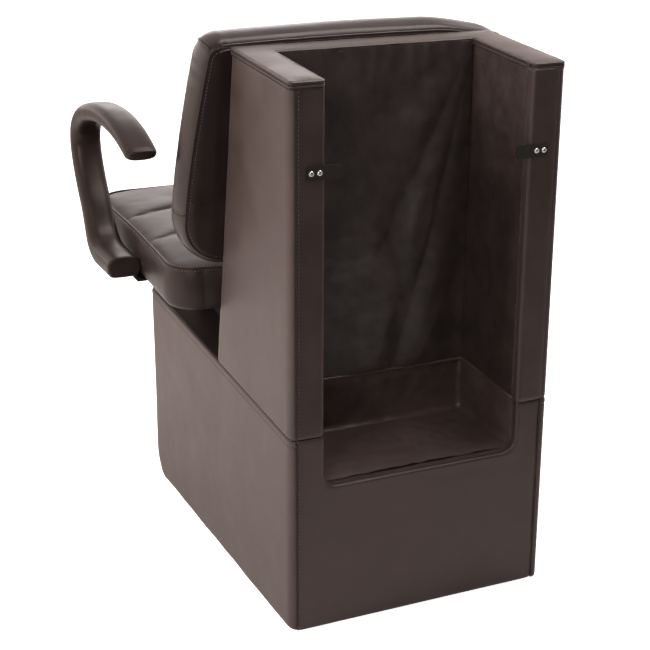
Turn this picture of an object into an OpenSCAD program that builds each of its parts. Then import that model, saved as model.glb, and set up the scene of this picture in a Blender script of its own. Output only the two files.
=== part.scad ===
// Dryer chair, seen by its maker: a plywood box base with a dryer shelf, an upright housing with an open bay
// at its back, and a padded seat, back and pair of moulded arms in front of it.
// Z is up, the sitter faces -Y, and the origin lies on the floor under the middle of the whole chair.

/* [Base] */
// Width of the base and of the housing that stands on it
base_w = 445; // [435:1:465]
// Depth of the base from its rear face to its front face
base_l = 663; // [645:1:690]
// Height of the base cover at the rear face
base_h = 321; // [305:1:340]
// Rise of the base top and of the housing top towards the front, in degrees
deck_pitch = 4; // [2:0.5:5]
// Radius of the toe along the bottom of the base front
toe_r = 50; // [30:1:60]
// Height of the cover's hem above the floor
hem_gap = 4; // [3:0.5:8]

/* [Dryer bay] */
// Width of each housing wall beside the bay, seen from the rear
wall_face_w = 55; // [50:1:62]
// Depth of the bay in the housing
bay_l = 180; // [165:1:184]
// Height of the lined shelf above the floor
shelf_h = 241; // [210:1:255]
// How much wider than the bay the shelf recess is, on each side
recess_side = 8; // [4:1:9]
// How much deeper than the bay the shelf recess is
recess_deep = 15; // [8:1:22]
// Radius of the lower corners of the notch in the base's rear
notch_r = 22; // [12:1:40]
// Height of the notch's padded edge above the lined shelf
notch_lip = 3; // [1:0.5:6]

/* [Housing] */
// Height of the housing's rear face above the base
housing_h = 538; // [515:1:560]
// Depth of the housing at its top
housing_top_l = 225; // [221:1:240]
// Depth of the housing at its foot
housing_foot_l = 318; // [305:1:330]
// Depth of the top cap's skirt below the top edge
skirt_h = 11; // [8:1:18]

/* [Boards and covers] */
// Thickness of the base, shelf and seat boards
ply_t = 15; // [12:1:16]
// Thickness of the housing, recess and back boards
board_t = 12; // [9:1:13]
// Thickness of the padded vinyl covers
pad_t = 4; // [3:0.5:5]
// Thickness of the unpadded vinyl on the deck
vinyl_t = 2; // [1:0.5:3]
// Thickness of the lining cloth
lining_t = 2; // [1:0.5:3]
// Height of the lining's largest fold
fold_h = 9; // [4:1:14]

/* [Dryer straps] */
// Length of a strap
strap_l = 55; // [48:1:65]
// Height of a strap
strap_w = 20; // [16:1:28]
// Thickness of a strap
strap_t = 2.5; // [1.5:0.5:4]
// How far a strap reaches into the bay
strap_reach = 25; // [15:1:28]
// Height of the straps' centre line above the floor
strap_z = 731; // [650:1:780]
// Distance between a strap's two screws
strap_pitch = 13; // [12:0.5:15]

/* [Seat] */
// Width of the seat at its top seam
seat_w = 556; // [530:2:580]
// Depth of the seat from the middle of its rear edge
seat_l = 532; // [510:1:555]
// Height of the seat cushion's underside above the base cover's top, both at their rear
seat_rise = 108; // [94:1:119]
// Height of the seat's boxing band
boxing_h = 74; // [64:1:84]
// Rise of the seat towards the front, in degrees
seat_pitch = 1; // [0:0.5:3]
// Crown of the seat's top above its seam
seat_crown = 16; // [8:1:24]
// Depth of the stitched channels across the seat
channel_h = 7; // [3:1:10]

/* [Back] */
// Widest width of the back cushion
back_w = 572; // [550:2:590]
// Height of the back cushion along its lean
back_h = 367; // [345:2:390]
// Thickness of the back cushion at its middle
back_t = 82; // [70:1:95]
// How far the back cushion narrows on each side towards its top
back_taper = 32; // [15:1:40]
// Height of the back cushion's lower edge above the seat seam
back_lift = 18; // [14:1:30]

/* [Arms] */
// Width of an arm
arm_w = 50; // [42:1:54]
// Thickness of an arm
arm_t = 34; // [30:1:38]
// Gap between the seat's side seam and an arm
arm_gap = 8; // [6:1:14]
// Height of the arm's centre line above its foot
arm_rise = 250; // [235:1:265]
// Length of the arm's centre line from its front bend to its tip
arm_reach = 337; // [310:1:350]
// Distance of the front bend from the seat's rear edge
arm_front = 425; // [415:1:440]
// Rise of the arm's steel strap from the seat's underside to the arm's foot
crank_h = 17; // [12:0.5:22]

/* [Hidden] */
$fn = 48;
// Overrun of every cut past the face that it leaves
over = 5;

// Glides, nails and corner blocks
glide_r = 11;
nail_r = 1.3;
nail_head_r = 3;
nail_head_t = 1;
nail_sink = 2;
nail_l = 24;
block_w = 38;
block_h = 150;
toe_flat = 36;
cleat_w = 20;

// Wall spacers, battens and the screws that hold the housing and the back
post_w = 30;
batten_w = 20;
batten_h = 280;
screw_r = 3;
screw_head_r = 5.5;
screw_head_h = 4;
housing_screw_l = 40;
housing_screw_shares = [0.42, 0.6];
back_screw_x = 120;
back_screw_low = 40;
back_screw_pitch = 190;
back_screw_bite = 10;

// Strap screws and corners
strap_screw_in = 9.5;
strap_screw_r = 2.1;
strap_screw_l = 25;
strap_head_r = 3.9;
strap_head_h = 2.2;
strap_corner_r = 3.5;

// Seat riser, seat board, dust cover and seat bolts
dust_t = 1;
seat_gap = 3;
board_in = 34;
dust_in = 18;
riser_w = 300;
rail_t = 25;
riser_rear = 14;
riser_front = 60;
bolt_r = 4;
bolt_in = 30;
bolt_head_r = 7.5;
bolt_head_h = 5.3;
bolt_bite = 10;

// Seat and back plan
seat_bow = 26;
seat_corner_r = 38;
seat_nose_r = 60;
seat_taper = 6;
seat_draw = 3;
seat_swell = 4;
channel_w = 13;
channel_shares = [0.37, 0.655];
back_top_r = 52;
back_low_r = 74;
back_top_bow = 4;
back_crown = 20;
back_draw = 2;
back_swell = 3;
back_wide_share = 0.25;
back_taper_power = 1.6;
back_cells = 8;
pad_cells = 14;
back_board_w = 380;
back_board_in = 60;

// Arm section, core, strap and bolts
arm_end_r = 9;
arm_flat = 1;
arm_square_share = 0.72;
arm_sides = 16;
arm_steps = 2;
arm_round_share = 0.3;
arm_tip_share = 0.7;
arm_tip_thin_share = 0.4;
core_w = 26;
core_t = 5;
core_end_share = 0.9;
plate_w = 66;
plate_t = 4;
plate_out = 15;
plate_gap = 10;
plate_bend = 12;
plate_clear = 1.5;
foot_share = 0.5015;
foot_mid = arm_front - foot_share * arm_reach;
arm_bolt_pitch = 40;
washer_r = 8;
washer_t = 1.6;
plate_screw_r = 2.4;
plate_head_r = 4.5;
plate_head_h = 2.6;
plate_screw_bite = 11;
plate_screw_in = 22;
plate_screw_pitch_x = 46;
plate_screw_pitch_y = 40;

// Centre line of an arm from its foot to its tip: shares of its reach and of its rise
arm_shares = [
    [0.645, 0], [0.52, 0], [0.42, 0], [0.345, 0], [0.282, 0.014], [0.246, 0.058], [0.158, 0.25],
    [0.096, 0.384], [0.042, 0.505], [0.01, 0.61], [0, 0.7], [0.018, 0.79], [0.07, 0.862], [0.145, 0.917],
    [0.24, 0.955], [0.39, 0.99], [0.55, 1], [0.69, 0.988], [0.81, 0.96], [0.92, 0.916], [1, 0.874]
];

// Faces that follow from the sizes above, as distances from the middle plane
outer_x = base_w / 2;
cover_x = outer_x - pad_t;
side_x = cover_x - ply_t;
bay_w = base_w - 2 * wall_face_w;
wall_x = bay_w / 2 + lining_t;
core_x = wall_x + board_t;
shell_x = cover_x - board_t;
recess_x = bay_w / 2 + recess_side;

// Depths from the rear face
board_d = pad_t + ply_t;
core_d = bay_l + lining_t + board_t;
recess_l = bay_l + recess_deep;

// Heights at the rear face
wood_z = hem_gap + pad_t;
deck_z = hem_gap + base_h;
under_deck_z = deck_z - vinyl_t - ply_t;
roof_z = deck_z + housing_h;
shelf_z = shelf_h - lining_t;
notch_z = shelf_h + notch_lip;
rise = tan(deck_pitch);

// The housing's front leans back from its foot to its top
foot_z = deck_z + housing_foot_l * rise;
lean = atan((housing_foot_l - housing_top_l) / (roof_z + housing_top_l * rise - foot_z));

// Seat and back places
seat_z = base_h + seat_rise;
seat_rear = housing_foot_l - (seat_z - foot_z) * tan(lean) + seat_gap;
back_low = (seat_z + boxing_h + back_lift - foot_z) / cos(lean);
riser_d0 = seat_rear + riser_rear;
riser_d1 = base_l - riser_front;
arm_x = seat_w / 2 + arm_gap + arm_w / 2;
foot_z0 = crank_h - dust_t;
arm_foot_z = foot_z0 + arm_t / 2 - arm_flat;

// Height at depth d of a slope that starts at height z at the rear face
function slope(z, d) = z + d * rise;

// Point on the housing's front, set in by t, where a slope that starts at height z meets it
function front_point(z, t) =
    let (d = (housing_foot_l - (z - foot_z) * tan(lean) - t / cos(lean)) / (1 + rise * tan(lean)))
    [-d, slope(z, d)];

// Distance from the base's rear face to the middle between the strap screws and the seat's front
origin_d = (seat_rear + seat_l + seat_swell - strap_t - strap_head_h) / 2;

// Moves a piece drawn from the base's rear face into the part's frame
module from_rear() translate([0, origin_d, 0]) children();

// Side view outline, drawn as [y, z], made solid from x0 to x1
module side_slab(x0, x1) translate([x0, 0, 0]) rotate([90, 0, 90]) linear_extrude(x1 - x0) children();

// Rear view outline, drawn as [x, z], made solid from y0 to y1
module rear_slab(y0, y1) translate([0, y1, 0]) rotate([90, 0, 0]) linear_extrude(y1 - y0) children();

module mirrored() mirror([1, 0, 0]) children();

module both_sides() {
    children();
    mirrored() children();
}

// Band between two depths and two sloping heights
module band(d0, d1, z0, z1)
    polygon([[-d0, slope(z0, d0)], [-d0, slope(z1, d0)], [-d1, slope(z1, d1)], [-d1, slope(z0, d1)]]);

// Side outline of the base, set in by t all round, up to a slope at height z
module base_outline(t, z) {
    low = hem_gap + t;
    far = base_l - t;
    r = toe_r - t;
    difference() {
        polygon([[-t, low], [-t, slope(z, t)], [-far, slope(z, far)], [-far, low]]);
        translate([-far, low]) difference() {
            translate([-over, -over]) square(r + over);
            translate([r, r]) circle(r);
        }
    }
}

// Side outline of the housing, set in at its rear and front, between two sloping heights
module housing_outline(rear_in, front_in, z0, z1)
    polygon([[-rear_in, slope(z0, rear_in)], [-rear_in, slope(z1, rear_in)],
        front_point(z1, front_in), front_point(z0, front_in)]);

// Notch in the base's rear, grown by t
module notch(t) {
    w = bay_w + 2 * t;
    r = notch_r + t;
    low = notch_z - t;
    translate([-w / 2, low + r]) square([w, base_h]);
    translate([-w / 2 + r, low]) square([w - 2 * r, r]);
    for (s = [-1, 1]) translate([s * (w / 2 - r), low + r]) circle(r);
}

// Rectangle with round corners, centred
module round_plate(w, h, r) {
    square([w, h - 2 * r], center = true);
    square([w - 2 * r, h], center = true);
    for (sx = [-1, 1], sy = [-1, 1]) translate([sx * (w / 2 - r), sy * (h / 2 - r)]) circle(r);
}

// Hexagon screw that points up, with its head below z = 0
module hex_screw(r, head_r, head_h, length) {
    translate([0, 0, -head_h]) cylinder(r = head_r, h = head_h, $fn = 6);
    cylinder(r = r, h = length);
}

// Base boards

module base_side() side_slab(side_x, cover_x) base_outline(pad_t, under_deck_z);

module base_side_left() color("burlywood") from_rear() base_side();

module base_side_right() color("burlywood") from_rear() mirrored() base_side();

module base_front_panel() color("tan") from_rear() side_slab(-side_x, side_x) intersection() {
    base_outline(pad_t, under_deck_z);
    translate([-base_l, hem_gap + toe_r]) square([board_d, 2 * base_h]);
}

module base_toe_rail() color("peru") from_rear() difference() {
    side_slab(-side_x, side_x) intersection() {
        base_outline(pad_t, under_deck_z);
        translate([-base_l, 0]) square([toe_r + toe_flat, hem_gap + toe_r]);
    }
    nail_holes();
}

module base_rear_panel() color("tan") from_rear() intersection() {
    rear_slab(-board_d, -pad_t) difference() {
        translate([-side_x, wood_z]) square([2 * side_x, 2 * base_h]);
        notch(pad_t);
    }
    side_slab(-side_x, side_x) base_outline(pad_t, under_deck_z);
}

// Hole in the deck and its cover over the shelf recess
module recess_hole() translate([-recess_x - lining_t, -recess_l - lining_t, 0])
    cube([2 * (recess_x + lining_t), recess_l + lining_t + over, roof_z]);

module base_deck() color("burlywood") from_rear() difference() {
    side_slab(-cover_x, cover_x) band(pad_t, base_l - pad_t, under_deck_z, deck_z - vinyl_t);
    recess_hole();
    housing_screw_holes();
    seat_bolt_holes();
}

// Places of the glides, seen from above
rear_glide_y = -board_d - block_w / 2;
front_glide_y = -(base_l - toe_r - toe_flat / 2);
glide_x = side_x - block_w / 2;

module at_glides() for (sx = [-1, 1], y = [rear_glide_y, front_glide_y]) translate([sx * glide_x, y, 0]) children();

module nail_holes() at_glides() cylinder(r = nail_r, h = nail_sink + nail_l);

module base_corner_blocks() color("peru") from_rear() difference() {
    both_sides() {
        translate([side_x - block_w, -board_d - block_w, wood_z]) cube([block_w, block_w, block_h]);
        translate([side_x - block_w, board_d - base_l, hem_gap + toe_r]) cube([block_w, block_w, block_h]);
    }
    nail_holes();
}

module base_glides() color("whitesmoke") from_rear() at_glides() difference() {
    cylinder(r = glide_r, h = wood_z);
    translate([0, 0, -over]) cylinder(r = nail_r, h = wood_z + 2 * over);
    translate([0, 0, -over]) cylinder(r = nail_head_r, h = nail_sink + over);
}

module glide_nails() color("silver") from_rear() at_glides() {
    translate([0, 0, nail_sink - nail_head_t]) cylinder(r = nail_head_r, h = nail_head_t);
    translate([0, 0, nail_sink]) cylinder(r = nail_r, h = nail_l);
}

module shelf_cleats() color("peru") from_rear() both_sides()
    translate([side_x - cleat_w, -recess_l, shelf_z - ply_t - cleat_w]) cube([cleat_w, recess_l - board_d, cleat_w]);

module dryer_shelf() color("burlywood") from_rear()
    translate([-side_x, -recess_l - lining_t - board_t, shelf_z - ply_t])
        cube([2 * side_x, recess_l + lining_t + board_t - board_d, ply_t]);

module recess_side() side_slab(recess_x + lining_t, recess_x + lining_t + board_t) difference() {
    band(board_d, recess_l + lining_t, 0, under_deck_z);
    translate([-base_l, -over]) square([base_l, shelf_z + over]);
}

module recess_side_left() color("burlywood") from_rear() recess_side();

module recess_side_right() color("burlywood") from_rear() mirrored() recess_side();

module recess_back() color("burlywood") from_rear()
    side_slab(-recess_x - lining_t - board_t, recess_x + lining_t + board_t) difference() {
        band(recess_l + lining_t, recess_l + lining_t + board_t, 0, under_deck_z);
        translate([-base_l, -over]) square([base_l, shelf_z + over]);
    }

module recess_lining() color("#241b1a") from_rear() intersection() {
    difference() {
        translate([-recess_x - lining_t, -recess_l - lining_t, shelf_z])
            cube([2 * (recess_x + lining_t), recess_l + lining_t - board_d, base_h]);
        translate([-recess_x, -recess_l, shelf_h]) cube([2 * recess_x, recess_l + over, 2 * base_h]);
    }
    side_slab(-outer_x, outer_x) base_outline(0, deck_z);
}

// Base covers

module base_cover() side_slab(cover_x, outer_x) base_outline(0, deck_z);

module base_cover_left() color("#5c504d") from_rear() base_cover();

module base_cover_right() color("#5c504d") from_rear() mirrored() base_cover();

module base_cover_front() color("#4c4240") from_rear() side_slab(-cover_x, cover_x) intersection() {
    difference() {
        base_outline(0, deck_z);
        base_outline(pad_t, roof_z);
    }
    translate([-base_l, 0]) square([toe_r, 2 * base_h]);
}

module base_cover_rear() color("#3b3230") from_rear() intersection() {
    union() {
        rear_slab(-pad_t, 0) difference() {
            translate([-cover_x, hem_gap]) square([2 * cover_x, 2 * base_h]);
            notch(0);
        }
        rear_slab(-board_d, -pad_t) difference() {
            notch(pad_t);
            notch(0);
        }
    }
    side_slab(-cover_x, cover_x) base_outline(0, deck_z);
}

module base_deck_cover() color("#3b3230") from_rear() difference() {
    side_slab(-cover_x, cover_x) band(pad_t, base_l - pad_t, deck_z - vinyl_t, deck_z);
    recess_hole();
    housing_screw_holes();
    seat_bolt_holes();
}

// Housing boards

module housing_outer_board() side_slab(shell_x, cover_x) housing_outline(pad_t, pad_t, deck_z, roof_z - pad_t);

module housing_outer_board_left() color("burlywood") from_rear() housing_outer_board();

module housing_outer_board_right() color("burlywood") from_rear() mirrored() housing_outer_board();

module housing_inner_board() difference() {
    side_slab(wall_x, core_x) band(pad_t, core_d, deck_z, roof_z - pad_t);
    strap_screw_holes();
}

module housing_inner_board_left() color("tan") from_rear() housing_inner_board();

module housing_inner_board_right() color("tan") from_rear() mirrored() housing_inner_board();

// Ladder of three posts and two rails inside a wall
module housing_spacers() {
    mid_d = (pad_t + core_d - post_w) / 2;
    difference() {
        side_slab(core_x, shell_x) {
            for (d = [pad_t, mid_d, core_d - post_w]) band(d, d + post_w, deck_z, roof_z - pad_t);
            band(pad_t, core_d, deck_z, deck_z + post_w);
            band(pad_t, core_d, roof_z - pad_t - post_w, roof_z - pad_t);
        }
        strap_screw_holes();
        housing_screw_holes();
    }
}

module housing_spacers_left() color("peru") from_rear() housing_spacers();

module housing_spacers_right() color("peru") from_rear() mirrored() housing_spacers();

module bay_board() color("burlywood") from_rear()
    side_slab(-wall_x, wall_x) band(bay_l + lining_t, core_d, deck_z, roof_z - pad_t);

module housing_front_board() color("burlywood") from_rear() difference() {
    side_slab(-shell_x, shell_x) polygon([front_point(deck_z, pad_t), front_point(roof_z - pad_t, pad_t),
        front_point(roof_z - pad_t, pad_t + board_t), front_point(deck_z, pad_t + board_t)]);
    back_frame() back_screw_holes();
}

// Strip that closes the top between the bay board and the front board
module housing_top_board() color("tan") from_rear()
    side_slab(-shell_x, shell_x) polygon([[-core_d, slope(roof_z - pad_t, core_d)],
        front_point(roof_z - pad_t, pad_t + board_t), front_point(roof_z - pad_t - board_t, pad_t + board_t),
        [-core_d, slope(roof_z - pad_t - board_t, core_d)]]);

module housing_battens() color("peru") from_rear() both_sides()
    side_slab(shell_x - batten_w, shell_x) polygon([front_point(deck_z, pad_t + board_t),
        front_point(deck_z + batten_h, pad_t + board_t),
        front_point(deck_z + batten_h, pad_t + board_t + batten_w),
        front_point(deck_z, pad_t + board_t + batten_w)]);

// Housing covers

module housing_cover() side_slab(cover_x, outer_x) housing_outline(0, 0, deck_z, roof_z - skirt_h);

module housing_cover_left() color("#6b5f5b") from_rear() housing_cover();

module housing_cover_right() color("#6b5f5b") from_rear() mirrored() housing_cover();

module housing_rear_cover() difference() {
    side_slab(bay_w / 2, cover_x) band(0, pad_t, deck_z, roof_z - skirt_h);
    strap_screw_holes();
}

module housing_rear_cover_left() color("#3b3230") from_rear() housing_rear_cover();

module housing_rear_cover_right() color("#3b3230") from_rear() mirrored() housing_rear_cover();

module housing_front_cover() color("#3b3230") from_rear() difference() {
    side_slab(-cover_x, cover_x) polygon([front_point(deck_z, 0), front_point(roof_z - skirt_h, 0),
        front_point(roof_z - skirt_h, pad_t), front_point(deck_z, pad_t)]);
    back_frame() back_screw_holes();
}

module housing_top_cap() color("#8d827e") from_rear() difference() {
    side_slab(-outer_x, outer_x) housing_outline(0, 0, roof_z - skirt_h, roof_z);
    side_slab(-cover_x, cover_x) housing_outline(pad_t, pad_t, deck_z, roof_z - pad_t);
    translate([-bay_w / 2, -bay_l, deck_z]) cube([bay_w, bay_l + over, 2 * housing_h]);
}

// Folds of the loose lining: ridges that fan out from the upper corner on the sitter's right.
// Each has the fall of its line, its width at the root, its spread and its height, all as shares.
fold_fade_share = 1.6;
lining_cells = [20, 24];
fold_shares = [[0.5, 0.05, 0.1, 1], [1.05, 0.05, 0.08, 0.55], [2.6, 0.06, 0.16, 0.7], [0.12, 0.03, 0.05, 0.35]];

function fold_at(u, v) = let (du = u + 1, edge = (1 - u * u) * sin(180 * v))
    fold_h * max([for (f = fold_shares)
        let (off = (1 - v - f[0] * du) / (f[1] + f[2] * du + f[0] * f[2]))
        f[3] * exp(-off * off)]) * sqrt(max(edge, 0)) * exp(-du * du / fold_fade_share);

// Sheet behind the bay: flat against its board, with the folds on its open side
module fold_sheet(nx, nz) {
    z0 = slope(deck_z, bay_l);
    z1 = slope(roof_z - pad_t, bay_l);
    nodes_front = [for (k = [0:nz], i = [0:nx]) let (u = 2 * i / nx - 1, v = k / nz)
        [u * bay_w / 2, -bay_l + fold_at(u, v), z0 + v * (z1 - z0)]];
    nodes_rear = [for (k = [0:nz], i = [0:nx]) let (u = 2 * i / nx - 1, v = k / nz)
        [u * bay_w / 2, -bay_l - lining_t, z0 + v * (z1 - z0)]];
    n = (nx + 1) * (nz + 1);
    function at(k, i) = k * (nx + 1) + i;
    rim = concat([for (i = [0:nx]) at(0, i)], [for (k = [1:nz]) at(k, nx)],
        [for (i = [nx - 1:-1:0]) at(nz, i)], [for (k = [nz - 1:-1:1]) at(k, 0)]);
    centre = [0, -bay_l - lining_t, (z0 + z1) / 2];
    polyhedron(concat(nodes_front, nodes_rear, [centre]), concat(
        [for (k = [0:nz - 1], i = [0:nx - 1], h = [0, 1])
            h == 0 ? [at(k, i), at(k, i + 1), at(k + 1, i + 1)] : [at(k, i), at(k + 1, i + 1), at(k + 1, i)]],
        [for (j = [0:len(rim) - 1], h = [0, 1]) let (a = rim[j], b = rim[(j + 1) % len(rim)])
            h == 0 ? [b, a, a + n] : [b, a + n, b + n]],
        [for (j = [0:len(rim) - 1]) [2 * n, rim[(j + 1) % len(rim)] + n, rim[j] + n]]
    ), convexity = 6);
}

module bay_lining() color("#2a2120") from_rear() fold_sheet(lining_cells[0], lining_cells[1]);

module bay_side_linings() color("#2a2120") from_rear() both_sides()
    side_slab(bay_w / 2, wall_x) band(pad_t, bay_l + lining_t, deck_z, roof_z - pad_t);

// Dryer straps and the screws of the housing

strap_mid_x = bay_w / 2 - strap_reach + strap_l / 2;

module at_strap_screws() for (i = [0, 1])
    translate([bay_w / 2 + strap_screw_in + i * strap_pitch, 0, strap_z]) rotate([90, 0, 0]) children();

module strap_screw_holes() at_strap_screws() translate([0, 0, -over]) cylinder(r = strap_screw_r, h = strap_screw_l + over);

module dryer_strap() difference() {
    translate([strap_mid_x, 0, strap_z]) rear_slab(0, strap_t) round_plate(strap_l, strap_w, strap_corner_r);
    strap_screw_holes();
}

module dryer_strap_left() color("#1c1717") from_rear() dryer_strap();

module dryer_strap_right() color("#1c1717") from_rear() mirrored() dryer_strap();

module strap_screws() color("gainsboro") from_rear() both_sides() at_strap_screws() {
    translate([0, 0, -strap_t]) cylinder(r = strap_screw_r, h = strap_screw_l + strap_t);
    translate([0, 0, -strap_t - strap_head_h]) cylinder(r1 = strap_head_r - strap_head_h / 2, r2 = strap_head_r, h = strap_head_h);
}

// Lag screws that come up through the deck, between the recess and the base side, into the wall's lower rail
housing_screw_x = (max(recess_x + lining_t + board_t, core_x) + min(side_x, shell_x)) / 2;

module at_housing_screws() for (share = housing_screw_shares)
    translate([housing_screw_x, -share * core_d, slope(under_deck_z, share * core_d - screw_head_r)]) children();

module housing_screw_holes() both_sides() at_housing_screws()
    translate([0, 0, -over]) cylinder(r = screw_r, h = housing_screw_l + over);

module housing_lag_screws() color("silver") from_rear() both_sides() at_housing_screws()
    hex_screw(screw_r, screw_head_r, screw_head_h, housing_screw_l);

// Pads

// Unit outward normals of a closed loop of points that runs clockwise seen from above
function normals(loop) = let (n = len(loop)) [for (i = [0:n - 1])
    let (t = loop[(i + 1) % n] - loop[(i + n - 1) % n]) [-t[1], t[0]] / norm([t[0], t[1]])];

// Closed pad. rows holds [y, half width] from the far end to the near end, place(u, i) gives a point's plan
// place, top(u, y) its height, and rings the swell and the height share of each loop down its side.
module pad(rows, nx, place, top, rings) {
    m = len(rows) - 1;
    function at(i, j) = i * (nx + 1) + j;
    grid = [for (i = [0:m], j = [0:nx]) let (u = 2 * j / nx - 1, p = place(u, i)) [p[0], p[1], top(u, p[1])]];
    rim = concat([for (j = [0:nx]) at(0, j)], [for (i = [1:m]) at(i, nx)],
        [for (j = [nx - 1:-1:0]) at(m, j)], [for (i = [m - 1:-1:1]) at(i, 0)]);
    n = len(rim);
    base = len(grid);
    loop = [for (k = rim) grid[k]];
    out = normals([for (p = loop) [p[0], p[1]]]);
    sides = [for (r = rings, k = [0:n - 1])
        [loop[k][0] + r[0] * out[k][0], loop[k][1] + r[0] * out[k][1], loop[k][2] * r[1]]];
    centre = [0, (rows[0][0] + rows[m][0]) / 2, 0];
    function ring(r, k) = r < 0 ? rim[k % n] : base + r * n + k % n;
    last = len(rings) - 1;
    polyhedron(concat(grid, sides, [centre]), concat(
        [for (i = [0:m - 1], j = [0:nx - 1], h = [0, 1])
            h == 0 ? [at(i, j), at(i, j + 1), at(i + 1, j + 1)] : [at(i, j), at(i + 1, j + 1), at(i + 1, j)]],
        [for (r = [-1:last - 1], k = [0:n - 1], h = [0, 1])
            h == 0 ? [ring(r, k + 1), ring(r, k), ring(r + 1, k)] : [ring(r, k + 1), ring(r + 1, k), ring(r + 1, k + 1)]],
        [for (k = [0:n - 1]) [base + len(sides), ring(last, k + 1), ring(last, k)]]
    ), convexity = 6);
}

// How far a side is cut back by a round corner of radius r, at distance e from the end
function corner_cut(e, r) = e >= r ? 0 : r - sqrt(r * r - (r - e) * (r - e));

// Distances from an end that sample a round corner of radius r
function corner_steps(r) = [for (a = [0:22.5:67.5]) r * (1 - cos(a))];

// Seat, drawn from its rear edge forwards with its underside at z = 0

module seat_frame() translate([0, -seat_rear, seat_z]) rotate([-seat_pitch, 0, 0]) children();

seat_side_l = seat_l - seat_bow;
channel_y = [for (share = channel_shares) share * seat_side_l];
seat_steps = concat(corner_steps(seat_corner_r),
    [seat_corner_r, (seat_corner_r + channel_y[0]) / 2],
    [for (y = channel_y, k = [-2, -1, 0, 1, 2]) y + k * channel_w],
    [(channel_y[0] + channel_y[1]) / 2, (channel_y[1] + seat_side_l - seat_nose_r) / 2, seat_side_l - seat_nose_r],
    [for (e = corner_steps(seat_nose_r)) seat_side_l - e]);

function sorted(list) = len(list) <= 1 ? list : let (p = list[0])
    concat(sorted([for (x = list) if (x < p) x]), [for (x = list) if (x == p) p], sorted([for (x = list) if (x > p) x]));

function seat_half(e) = let (share = e / seat_side_l)
    seat_w / 2 - seat_taper * share - seat_draw * sin(180 * share)
    - corner_cut(e, seat_corner_r) - corner_cut(seat_side_l - e, seat_nose_r);

seat_rows = [for (e = sorted(seat_steps)) [-e, seat_half(e)]];

// The rear edge bows back between its corners, and the bow fades out by the first channel
function seat_place(u, i) = let (e = -seat_rows[i][0], fade = max(0, 1 - e / channel_y[0]))
    [u * seat_rows[i][1], -seat_bow - e + seat_bow * (1 - u * u) * fade];

function seat_top(u, y) = let (e = -y - seat_bow, v = 2 * e / seat_side_l - 1)
    boxing_h + seat_crown * (1 - pow(abs(u), 4)) * (1 - pow(min(abs(v), 1), 4))
    - channel_h * (1 - pow(abs(u), 6)) * max([for (c = channel_y) exp(-pow((e - c) / channel_w, 2))]);

// Loops down a pad's side: share of its swell, share of its height
pad_shares = [[0.6, 0.86], [1, 0.6], [0.8, 0.3], [0.2, 0.07], [-1.2, 0]];

module seat_pad() pad(seat_rows, pad_cells, function (u, i) seat_place(u, i), function (u, y) seat_top(u, y),
    [for (r = pad_shares) [r[0] * seat_swell, r[1]]]);

module seat_board_shape() translate([-seat_w / 2 + board_in, -seat_l + board_in, 0])
    cube([seat_w - 2 * board_in, seat_l - 2 * board_in - seat_bow, ply_t]);

module seat_cushion() color("#4a403d") from_rear() seat_frame() difference() {
    seat_pad();
    translate([0, 0, -over]) seat_board_shape();
    seat_board_shape();
}

module seat_board() color("burlywood") from_rear() difference() {
    seat_frame() seat_board_shape();
    seat_bolt_holes();
    seat_frame() both_sides() plate_screw_holes();
}

module seat_dust_cover() color("#151212") from_rear() difference() {
    seat_frame() translate([-seat_w / 2 + dust_in, -seat_l + dust_in, -dust_t])
        cube([seat_w - 2 * dust_in, seat_l - 2 * dust_in - seat_bow, dust_t]);
    seat_bolt_holes();
    seat_frame() both_sides() plate_screw_holes();
}

// Height of the dust cover's underside at depth d
function seat_under(d) = seat_z + (d - seat_rear) * tan(seat_pitch) - dust_t / cos(seat_pitch);

module riser_outline(d0, d1)
    polygon([[-d0, slope(deck_z, d0)], [-d0, seat_under(d0)], [-d1, seat_under(d1)], [-d1, slope(deck_z, d1)]]);

module riser_rail() difference() {
    side_slab(riser_w / 2 - rail_t, riser_w / 2) riser_outline(riser_d0, riser_d1);
    seat_bolt_holes();
}

module riser_rail_left() color("#2e2624") from_rear() riser_rail();

module riser_rail_right() color("#2e2624") from_rear() mirrored() riser_rail();

module riser_front_panel() color("#2e2624") from_rear()
    side_slab(-riser_w / 2 + rail_t, riser_w / 2 - rail_t) riser_outline(riser_d1 - ply_t, riser_d1);

seat_bolt_d = [seat_rear + seat_bow + board_in + bolt_in, riser_d1 - bolt_in];

module at_seat_bolts() for (d = seat_bolt_d)
    translate([riser_w / 2 - rail_t / 2, -d, slope(under_deck_z, d - bolt_head_r)]) children();

function seat_bolt_l(d) = seat_under(d) + bolt_bite - slope(under_deck_z, d);

module seat_bolt_shanks(extra) for (d = seat_bolt_d)
    translate([riser_w / 2 - rail_t / 2, -d, slope(under_deck_z, d - bolt_head_r) - extra])
        cylinder(r = bolt_r, h = seat_bolt_l(d) + extra);

module seat_bolt_holes() both_sides() seat_bolt_shanks(over);

module seat_bolts() color("silver") from_rear() both_sides() {
    seat_bolt_shanks(0);
    at_seat_bolts() translate([0, 0, -bolt_head_h]) cylinder(r = bolt_head_r, h = bolt_head_h, $fn = 6);
}

// Back, drawn up the housing's front with z away from it

module back_frame() translate([0, -housing_foot_l, foot_z]) rotate([90 - lean, 0, 0]) children();

function back_half(y) = let (share = y / back_h, up = max(0, share - back_wide_share) / (1 - back_wide_share))
    back_w / 2 - back_taper * pow(up, back_taper_power) - back_draw * sin(180 * share)
    - corner_cut(back_h - y, back_top_r) - corner_cut(y, back_low_r);

back_steps = concat(corner_steps(back_low_r), [for (e = corner_steps(back_top_r)) back_h - e],
    [for (k = [0:back_cells]) back_low_r + k * (back_h - back_low_r - back_top_r) / back_cells]);

back_rows = let (s = sorted(back_steps)) [for (i = [len(s) - 1:-1:0]) [s[i], back_half(s[i])]];

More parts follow.
